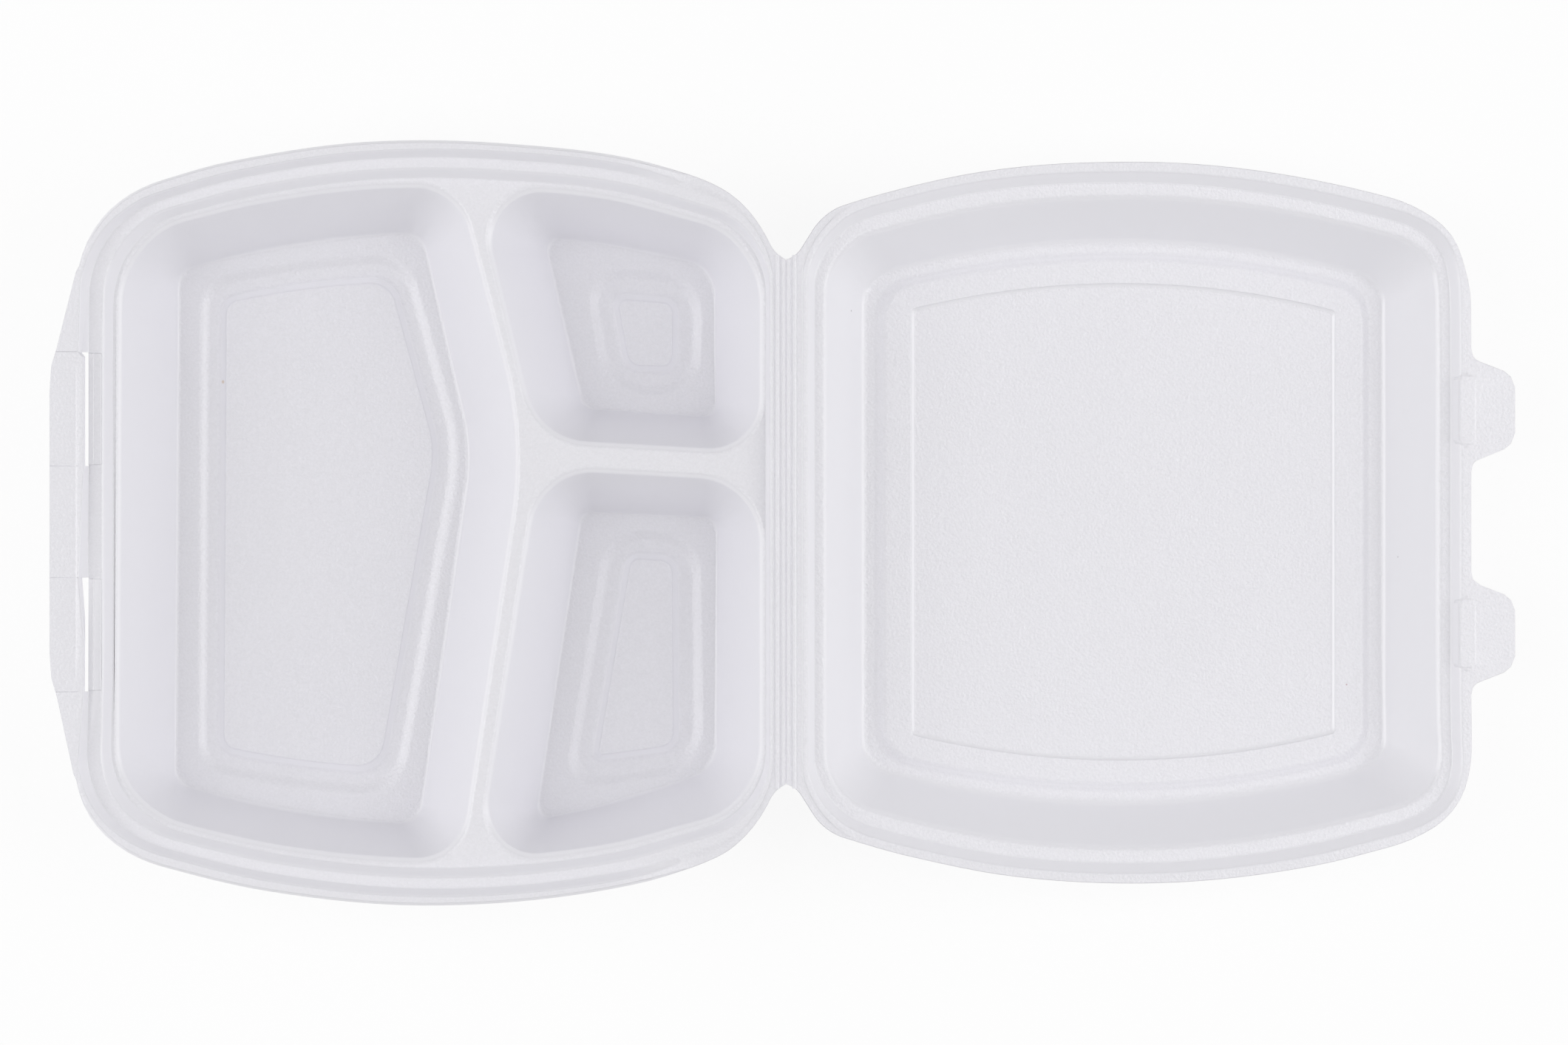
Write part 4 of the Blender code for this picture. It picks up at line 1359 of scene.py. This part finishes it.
def rib_tree():
    """Geometry nodes for a row of rounded ribs that run along the fold."""
    tree = bpy.data.node_groups.new("Rounded ribs", "GeometryNodeTree")
    face = tree.interface
    for name, kind, default in (
        ("Count", "NodeSocketInt", 2),
        ("First Place", "NodeSocketFloat", RIB_FIRST),
        ("Pitch", "NodeSocketFloat", RIB_PITCH),
        ("Inner Width", "NodeSocketFloat", RIB_INNER_WIDTH),
        ("Outer Width", "NodeSocketFloat", RIB_OUTER_WIDTH),
        ("Height", "NodeSocketFloat", STRIP_DROP),
        ("Length", "NodeSocketFloat", 2 * FOLD_HALF_LENGTH),
        ("Lengthening", "NodeSocketFloat", RIB_LENGTHENING),
        ("Level", "NodeSocketFloat", RIM_HEIGHT),
        ("Sides", "NodeSocketInt", RIB_SIDES),
    ):
        socket = face.new_socket(name, in_out="INPUT", socket_type=kind)
        socket.default_value = default
    face.new_socket("Material", in_out="INPUT", socket_type="NodeSocketMaterial")
    face.new_socket("Geometry", in_out="OUTPUT", socket_type="NodeSocketGeometry")
    given = node(tree, "NodeGroupInput").outputs

    def vector(x=0.0, y=0.0, z=0.0):
        return node(tree, "ShaderNodeCombineXYZ", {"X": x, "Y": y, "Z": z}).outputs[0]

    # One point for each rib, and a round bar of unit length and width to stand on it
    places = node(
        tree,
        "GeometryNodeMeshLine",
        {
            "Count": given["Count"],
            "Start Location": vector(given["First Place"], 0.0, given["Level"]),
            "Offset": vector(given["Pitch"]),
        },
        mode="OFFSET",
    )
    run = node(tree, "GeometryNodeCurvePrimitiveLine", {"Start": (0, -0.5, 0), "End": (0, 0.5, 0)})
    section = node(
        tree,
        "GeometryNodeCurvePrimitiveCircle",
        {"Radius": 0.5, "Resolution": given["Sides"]},
        mode="RADIUS",
    )
    bar = node(
        tree,
        "GeometryNodeCurveToMesh",
        {"Fill Caps": True, "Curve": run.outputs[0], "Profile Curve": section.outputs[0]},
    )

    # The ribs grow wider and longer with their distance from the score line
    number = node(tree, "GeometryNodeInputIndex").outputs[0]
    share = maths(tree, "DIVIDE", number, maths(tree, "SUBTRACT", given["Count"], 1.0))
    more_width = maths(tree, "SUBTRACT", given["Outer Width"], given["Inner Width"])
    wider = maths(tree, "MULTIPLY", share, more_width)
    width = maths(tree, "ADD", given["Inner Width"], wider)
    height = maths(tree, "MULTIPLY", given["Height"], 2.0)
    first = maths(tree, "ABSOLUTE", given["First Place"])
    pitch = maths(tree, "ABSOLUTE", given["Pitch"])
    away = maths(tree, "ADD", first, maths(tree, "MULTIPLY", number, pitch))
    longer = maths(tree, "MULTIPLY", away, given["Lengthening"])
    run_length = maths(tree, "ADD", given["Length"], longer)
    placed = node(
        tree,
        "GeometryNodeInstanceOnPoints",
        {
            "Points": places.outputs["Mesh"],
            "Instance": bar.outputs["Mesh"],
            "Scale": vector(width, run_length, height),
        },
    )
    real = node(
        tree, "GeometryNodeRealizeInstances", {"Geometry": placed.outputs["Instances"]}
    )
    painted = node(
        tree,
        "GeometryNodeSetMaterial",
        {"Geometry": real.outputs["Geometry"], "Material": given["Material"]},
    )
    node(tree, "NodeGroupOutput", {"Geometry": painted.outputs["Geometry"]})
    return tree


def build_ribs(name, tree, side, level, place, foam):
    """The ribs of one half, as a plain mesh in its place."""
    fold = bpy.context.scene.foam_fold
    mesh = bpy.data.meshes.new(name)
    obj = bpy.data.objects.new(name, mesh)
    bpy.context.scene.collection.objects.link(obj)
    modifier = obj.modifiers.new("ribs", "NODES")
    modifier.node_group = tree
    values = {
        "Count": fold.rib_count,
        "First Place": side * fold.rib_first,
        "Pitch": side * fold.rib_pitch,
        "Inner Width": fold.rib_inner_width,
        "Outer Width": fold.rib_outer_width,
        "Height": fold.strip_drop,
        "Length": 2 * FOLD_HALF_LENGTH - RIB_END_GAP,
        "Lengthening": RIB_LENGTHENING,
        "Level": level - fold.strip_drop,
        "Sides": RIB_SIDES,
        "Material": foam,
    }
    for item in tree.interface.items_tree:
        if item.in_out == "INPUT":
            modifier[item.identifier] = values[item.name]
    return foamed(finished(obj, []), place, foam)


def build_web(foam):
    """The thin bridge of foam at the score line, shaped as it lies with the lid open."""
    top = RIM_HEIGHT - bpy.context.scene.foam_fold.strip_drop
    thickness = bpy.context.scene.foam_fold.web_thickness
    end = FOLD_HALF_LENGTH - WEB_END_GAP
    rings = []
    for k in range(WEB_PIECES + 1):
        x = WEB_HALF_WIDTH * (2 * k / WEB_PIECES - 1)
        high = top - max(x, 0) * math.tan(lid_droop())
        low = high - thickness
        rings.append([(x, -end, low), (x, end, low), (x, end, high), (x, -end, high)])
    return foamed(loft("fold_web", rings), tray_place(), foam)


def lid_droop():
    return lid_place().to_euler().y


# The looks


def foam_material():
    """White foam: a fine grain where the sheet stayed level, smooth where it was drawn."""
    foam = bpy.context.scene.foam_looks
    material = bpy.data.materials.new("white_foam")
    material.use_nodes = True
    tree = material.node_tree
    shader = tree.nodes["Principled BSDF"]
    shader.inputs["Roughness"].default_value = foam.roughness
    shader.inputs["IOR"].default_value = foam.ior
    shader.inputs["Specular IOR Level"].default_value = foam.sheen
    place = node(tree, "ShaderNodeTexCoord").outputs["Object"]
    level = node(tree, "ShaderNodeAttribute", attribute_name="unstretched").outputs["Fac"]

    def blended(share, a, b):
        inputs = {"Factor": share, "A": a, "B": b}
        return node(tree, "ShaderNodeMix", inputs, data_type="RGBA").outputs["Result"]

    def noise(scale, detail=2.0, roughness=0.5):
        inputs = {"Vector": place, "Scale": scale, "Detail": detail, "Roughness": roughness}
        return node(tree, "ShaderNodeTexNoise", inputs).outputs["Fac"]

    def opaque(colour):
        return (*colour, 1.0)

    grain = node(
        tree,
        "ShaderNodeTexVoronoi",
        {"Vector": place, "Scale": CELL_SHARE / foam.grain_size, "Smoothness": CELL_SMOOTHNESS},
        feature="SMOOTH_F1",
    )
    crumbs = noise(1 / foam.grain_size, CRUMB_DETAIL, CRUMB_ROUGHNESS)
    fine = noise(FINE_NOISE_SCALE, roughness=FINE_ROUGHNESS)
    cloud = noise(CLOUD_SCALE)

    # Colour: mottled where the foam is level, painted lighter on the walls as painted light, and a
    # speck here and there
    mottle = maths(tree, "MULTIPLY", maths(tree, "SUBTRACT", crumbs, 0.5), level)
    mottle = maths(tree, "MULTIPLY", mottle, MOTTLE_DEPTH)
    cloud = maths(tree, "MULTIPLY", maths(tree, "SUBTRACT", cloud, 0.5), CLOUD_DEPTH)
    tone = maths(tree, "ADD", maths(tree, "ADD", mottle, cloud), 0.5, clamp=True)
    dark_tone = [part * TONE_SHARE for part in foam.colour]
    colour = blended(tone, opaque(dark_tone), opaque(foam.colour))
    # Painted light: the walls take a lighter copy of the foam's colour, for the light that shines
    # through their thin sheet
    painted_light_wall_tone = [min(part * more, 1.0) for part, more in zip(foam.colour, WALL_PAINTED_LIGHT)]
    colour = blended(level, opaque(painted_light_wall_tone), colour)
    for _, middle, reach, shade in SPECKS:
        inputs = {0: place, 1: middle}
        away = node(tree, "ShaderNodeVectorMath", inputs, operation="DISTANCE").outputs["Value"]
        out = maths(tree, "DIVIDE", away, reach)
        inside = maths(tree, "SUBTRACT", 1.0, out, clamp=True)
        strength = maths(tree, "SMOOTH_MIN", inside, SPECK_CORE)
        strength = maths(tree, "MULTIPLY", strength, 2 * foam.speck_strength, clamp=True)
        colour = blended(strength, colour, opaque(shade))
    feed(tree, shader.inputs["Base Color"], colour)

    # Relief: grains and crumbs where the foam is level, and a fine tooth everywhere
    relief = maths(tree, "MULTIPLY", grain.outputs["Distance"], CELL_DEPTH_SHARE)
    relief = maths(tree, "ADD", relief, crumbs)
    height = maths(tree, "MULTIPLY", relief, level)
    height = maths(tree, "ADD", height, maths(tree, "MULTIPLY", fine, FINE_DEPTH_SHARE))
    inputs = {"Strength": foam.grain_strength, "Distance": foam.grain_depth, "Height": height}
    feed(tree, shader.inputs["Normal"], node(tree, "ShaderNodeBump", inputs).outputs["Normal"])
    return material


# Settings that a user would change


class FOAM_PG_fold(bpy.types.PropertyGroup):
    """Sizes of the ribbed strip at the fold."""

    strip_drop: bpy.props.FloatProperty(
        name="Strip drop",
        description="How much lower the strip lies than the tops of its ribs",
        default=STRIP_DROP,
        min=0.0,
        unit="LENGTH",
        precision=5,
    )
    rib_count: bpy.props.IntProperty(
        name="Ribs", description="Ribs on each half of the fold", default=2, min=2, max=4
    )
    rib_first: bpy.props.FloatProperty(
        name="First rib",
        description="Distance from the score line to the middle of the first rib",
        default=RIB_FIRST,
        unit="LENGTH",
        precision=5,
    )
    rib_pitch: bpy.props.FloatProperty(
        name="Rib pitch",
        description="Distance between the middles of two ribs",
        default=RIB_PITCH,
        unit="LENGTH",
        precision=5,
    )
    rib_inner_width: bpy.props.FloatProperty(
        name="Inner rib width",
        description="Width of the rib beside the score line",
        default=RIB_INNER_WIDTH,
        unit="LENGTH",
        precision=5,
    )
    rib_outer_width: bpy.props.FloatProperty(
        name="Outer rib width",
        description="Width of the rib farthest from the score line",
        default=RIB_OUTER_WIDTH,
        unit="LENGTH",
        precision=5,
    )
    web_thickness: bpy.props.FloatProperty(
        name="Web thickness",
        description="Thickness of the foam left at the score line",
        default=WEB_THICKNESS,
        unit="LENGTH",
        precision=5,
    )


class FOAM_PG_looks(bpy.types.PropertyGroup):
    """Colour and surface of the foam."""

    colour: bpy.props.FloatVectorProperty(
        name="Foam colour",
        description="Colour of the foam",
        subtype="COLOR",
        size=3,
        min=0.0,
        max=1.0,
        default=FOAM_COLOUR,
    )
    roughness: bpy.props.FloatProperty(
        name="Roughness",
        description="How matt the foam is",
        default=FOAM_ROUGHNESS,
        min=0.0,
        max=1.0,
        subtype="FACTOR",
    )
    ior: bpy.props.FloatProperty(
        name="Refractive index",
        description="How strongly the skin of the foam reflects",
        default=FOAM_IOR,
        min=1.0,
        max=2.0,
    )
    sheen: bpy.props.FloatProperty(
        name="Sheen",
        description="How much the moulded skin shines",
        default=1.0,
        min=0.0,
        max=1.0,
        subtype="FACTOR",
    )
    grain_size: bpy.props.FloatProperty(
        name="Grain size",
        description="Width of one grain of the unstretched foam",
        default=GRAIN_SIZE,
        unit="LENGTH",
        precision=5,
    )
    grain_depth: bpy.props.FloatProperty(
        name="Grain depth",
        description="Height of the grain's relief",
        default=GRAIN_DEPTH,
        unit="LENGTH",
        precision=6,
    )
    grain_strength: bpy.props.FloatProperty(
        name="Grain strength",
        description="How much of the grain's relief shows",
        default=GRAIN_STRENGTH,
        min=0.0,
        max=1.0,
        subtype="FACTOR",
    )
    speck_strength: bpy.props.FloatProperty(
        name="Specks",
        description="How strongly the specks in the foam show",
        default=SPECK_STRENGTH,
        min=0.0,
        max=1.0,
        subtype="FACTOR",
    )


class FOAM_PG_stage(bpy.types.PropertyGroup):
    """Lamps, floor and camera."""

    low_power: bpy.props.FloatProperty(
        name="Low lamps",
        description="Power of each of the two low lamps at the sides",
        default=LOW_POWER,
        min=0.0,
        unit="POWER",
    )
    high_power: bpy.props.FloatProperty(
        name="High lamps",
        description="Power of each of the two higher lamps at the sides",
        default=HIGH_POWER,
        min=0.0,
        unit="POWER",
    )
    world_strength: bpy.props.FloatProperty(
        name="Surroundings",
        description="Strength of the even light from all round",
        default=WORLD_STRENGTH,
        min=0.0,
    )
    floor_colour: bpy.props.FloatVectorProperty(
        name="Floor colour",
        description="Colour of the floor",
        subtype="COLOR",
        size=3,
        min=0.0,
        max=1.0,
        default=FLOOR_COLOUR,
    )
    camera_height: bpy.props.FloatProperty(
        name="Camera height",
        description="Height of the camera above the table",
        default=CAMERA_HEIGHT,
        unit="LENGTH",
    )


# Operators


def the_foam():
    return bpy.data.materials.get("white_foam") or foam_material()


class FOAM_OT_tray(bpy.types.Operator):
    """Build the tray with its three compartments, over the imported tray"""

    bl_idname = "foam_box.tray"
    bl_label = "Tray"

    def execute(self, context):
        tray = build_tray(the_foam())
        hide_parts("base_tray")
        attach(tray, "base")
        return {"FINISHED"}


class FOAM_OT_lid(bpy.types.Operator):
    """Build the lid with its two tabs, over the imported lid"""

    bl_idname = "foam_box.lid"
    bl_label = "Lid"

    def execute(self, context):
        lid = build_lid(the_foam())
        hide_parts("lid")
        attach(lid, "lid")
        return {"FINISHED"}


class FOAM_OT_fold(bpy.types.Operator):
    """Build the ribs of the fold and the web that joins the halves"""

    bl_idname = "foam_box.fold"
    bl_label = "Ribbed fold"

    def execute(self, context):
        foam = the_foam()
        tree = rib_tree()
        tray_ribs = build_ribs("tray_ribs", tree, -1, RIM_HEIGHT, tray_place(), foam)
        lid_level = RIM_HEIGHT - axis_height()
        lid_ribs = build_ribs("lid_ribs", tree, 1, lid_level, lid_place(), foam)
        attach(tray_ribs, "base")
        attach(lid_ribs, "lid")
        web = build_web(foam)
        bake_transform(web)
        return {"FINISHED"}


def area_lamp(name, place, target, size, power):
    data = bpy.data.lights.new(name, "AREA")
    data.shape = "RECTANGLE"
    data.size, data.size_y = size
    data.energy = power
    lamp = bpy.data.objects.new(name, data)
    lamp.location = place
    lamp.rotation_euler = (Vector(target) - Vector(place)).to_track_quat("-Z", "Y").to_euler()
    bpy.context.scene.collection.objects.link(lamp)
    return lamp


def shown(tree, own, plain, share):
    """Puts out a shader that the camera sees mixed with a plain one, by this share."""
    path = node(tree, "ShaderNodeLightPath")
    seen = maths(tree, "MULTIPLY", path.outputs["Is Camera Ray"], share)
    inputs = {0: seen, 1: own.outputs[0], 2: plain.outputs[0]}
    mixer = node(tree, "ShaderNodeMixShader", inputs)
    out = next(n for n in tree.nodes if n.type in ("OUTPUT_MATERIAL", "OUTPUT_WORLD"))
    feed(tree, out.inputs["Surface"], mixer.outputs[0])


def floor_material(colour):
    """Plain floor. The camera sees it lifted to white, with the object's shadow kept."""
    material = bpy.data.materials.new("floor")
    material.use_nodes = True
    tree = material.node_tree
    shader = tree.nodes["Principled BSDF"]
    shader.inputs["Base Color"].default_value = (*colour, 1.0)
    shader.inputs["Roughness"].default_value = FLOOR_ROUGHNESS
    shader.inputs["Specular IOR Level"].default_value = 0.0
    glow = node(tree, "ShaderNodeEmission", {"Color": WHITE, "Strength": 1.0})
    shown(tree, shader, glow, FLOOR_WHITE_SHARE)
    return material


def white_world(strength):
    """Even white surroundings. The camera sees plain white."""
    world = bpy.data.worlds.new("studio")
    world.use_nodes = True
    tree = world.node_tree
    even = tree.nodes["Background"]
    even.inputs["Color"].default_value = WHITE
    even.inputs["Strength"].default_value = strength
    plain = node(tree, "ShaderNodeBackground", {"Color": WHITE, "Strength": 1.0})
    shown(tree, even, plain, 1.0)
    bpy.context.scene.world = world


class FOAM_OT_stage(bpy.types.Operator):
    """Make the floor, the soft lamps and the camera straight above the box"""

    bl_idname = "foam_box.stage"
    bl_label = "Stage"

    def execute(self, context):
        stage = context.scene.foam_stage
        sides = ((-1, -1), (1, -1), (1, 1), (-1, 1))
        corners = [(x * FLOOR_REACH, y * FLOOR_REACH, 0) for x, y in sides]
        mesh = bpy.data.meshes.new("floor")
        mesh.from_pydata(corners, [], [(0, 1, 2, 3)])
        mesh.materials.append(floor_material(stage.floor_colour))
        floor = bpy.data.objects.new("floor", mesh)
        context.scene.collection.objects.link(floor)
        for side, name in ((-1, "left"), (1, "right")):
            for height, power, kind in (
                (LOW_LAMP, stage.low_power, "low"),
                (HIGH_LAMP, stage.high_power, "high"),
            ):
                place = (side * height[0], 0, height[1])
                area_lamp(f"lamp_{name}_{kind}", place, LAMP_TARGET, LAMP_SIZE, power)
        white_world(stage.world_strength)
        data = bpy.data.cameras.new("camera")
        camera = bpy.data.objects.new("camera", data)
        context.scene.collection.objects.link(camera)
        camera.location = (fold_place() + VIEW_ALONG, VIEW_ACROSS, stage.camera_height)
        camera.rotation_euler = (0, 0, 0)
        data.sensor_width = SENSOR_WIDTH
        data.lens = SENSOR_WIDTH * (stage.camera_height - RIM_HEIGHT) / VIEW_WIDTH
        data.clip_end = 2 * stage.camera_height
        context.scene.camera = camera
        context.scene.view_settings.view_transform = "Standard"
        return {"FINISHED"}


class FOAM_PT_panel(bpy.types.Panel):
    """Lists the pieces of the foam box"""

    bl_idname = "FOAM_PT_panel"
    bl_label = "Foam box"
    bl_space_type = "VIEW_3D"
    bl_region_type = "UI"
    bl_category = "Foam box"

    def draw(self, context):
        layout = self.layout
        for operator in OPERATORS:
            layout.operator(operator.bl_idname)
        for group, _ in GROUPS:
            box = layout.box()
            box.label(text=group.removeprefix("foam_").capitalize())
            settings = getattr(context.scene, group)
            for name in settings.__annotations__:
                box.prop(settings, name)


GROUPS = (
    ("foam_fold", FOAM_PG_fold),
    ("foam_looks", FOAM_PG_looks),
    ("foam_stage", FOAM_PG_stage),
)
OPERATORS = (FOAM_OT_tray, FOAM_OT_lid, FOAM_OT_fold, FOAM_OT_stage)


def register():
    for name, group in GROUPS:
        bpy.utils.register_class(group)
        setattr(bpy.types.Scene, name, bpy.props.PointerProperty(type=group))
    for operator in OPERATORS:
        bpy.utils.register_class(operator)
    bpy.utils.register_class(FOAM_PT_panel)


def unregister():
    bpy.utils.unregister_class(FOAM_PT_panel)
    for operator in reversed(OPERATORS):
        bpy.utils.unregister_class(operator)
    for name, group in reversed(GROUPS):
        delattr(bpy.types.Scene, name)
        bpy.utils.unregister_class(group)


def main():
    for obj in list(bpy.data.objects):
        if obj.type in ("CAMERA", "LIGHT") or obj.name == "Cube":
            bpy.data.objects.remove(obj, do_unlink=True)
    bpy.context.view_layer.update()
    register()
    bpy.ops.foam_box.tray()
    bpy.ops.foam_box.lid()
    bpy.ops.foam_box.fold()
    bpy.ops.foam_box.stage()


if __name__ == "__main__":
    main()
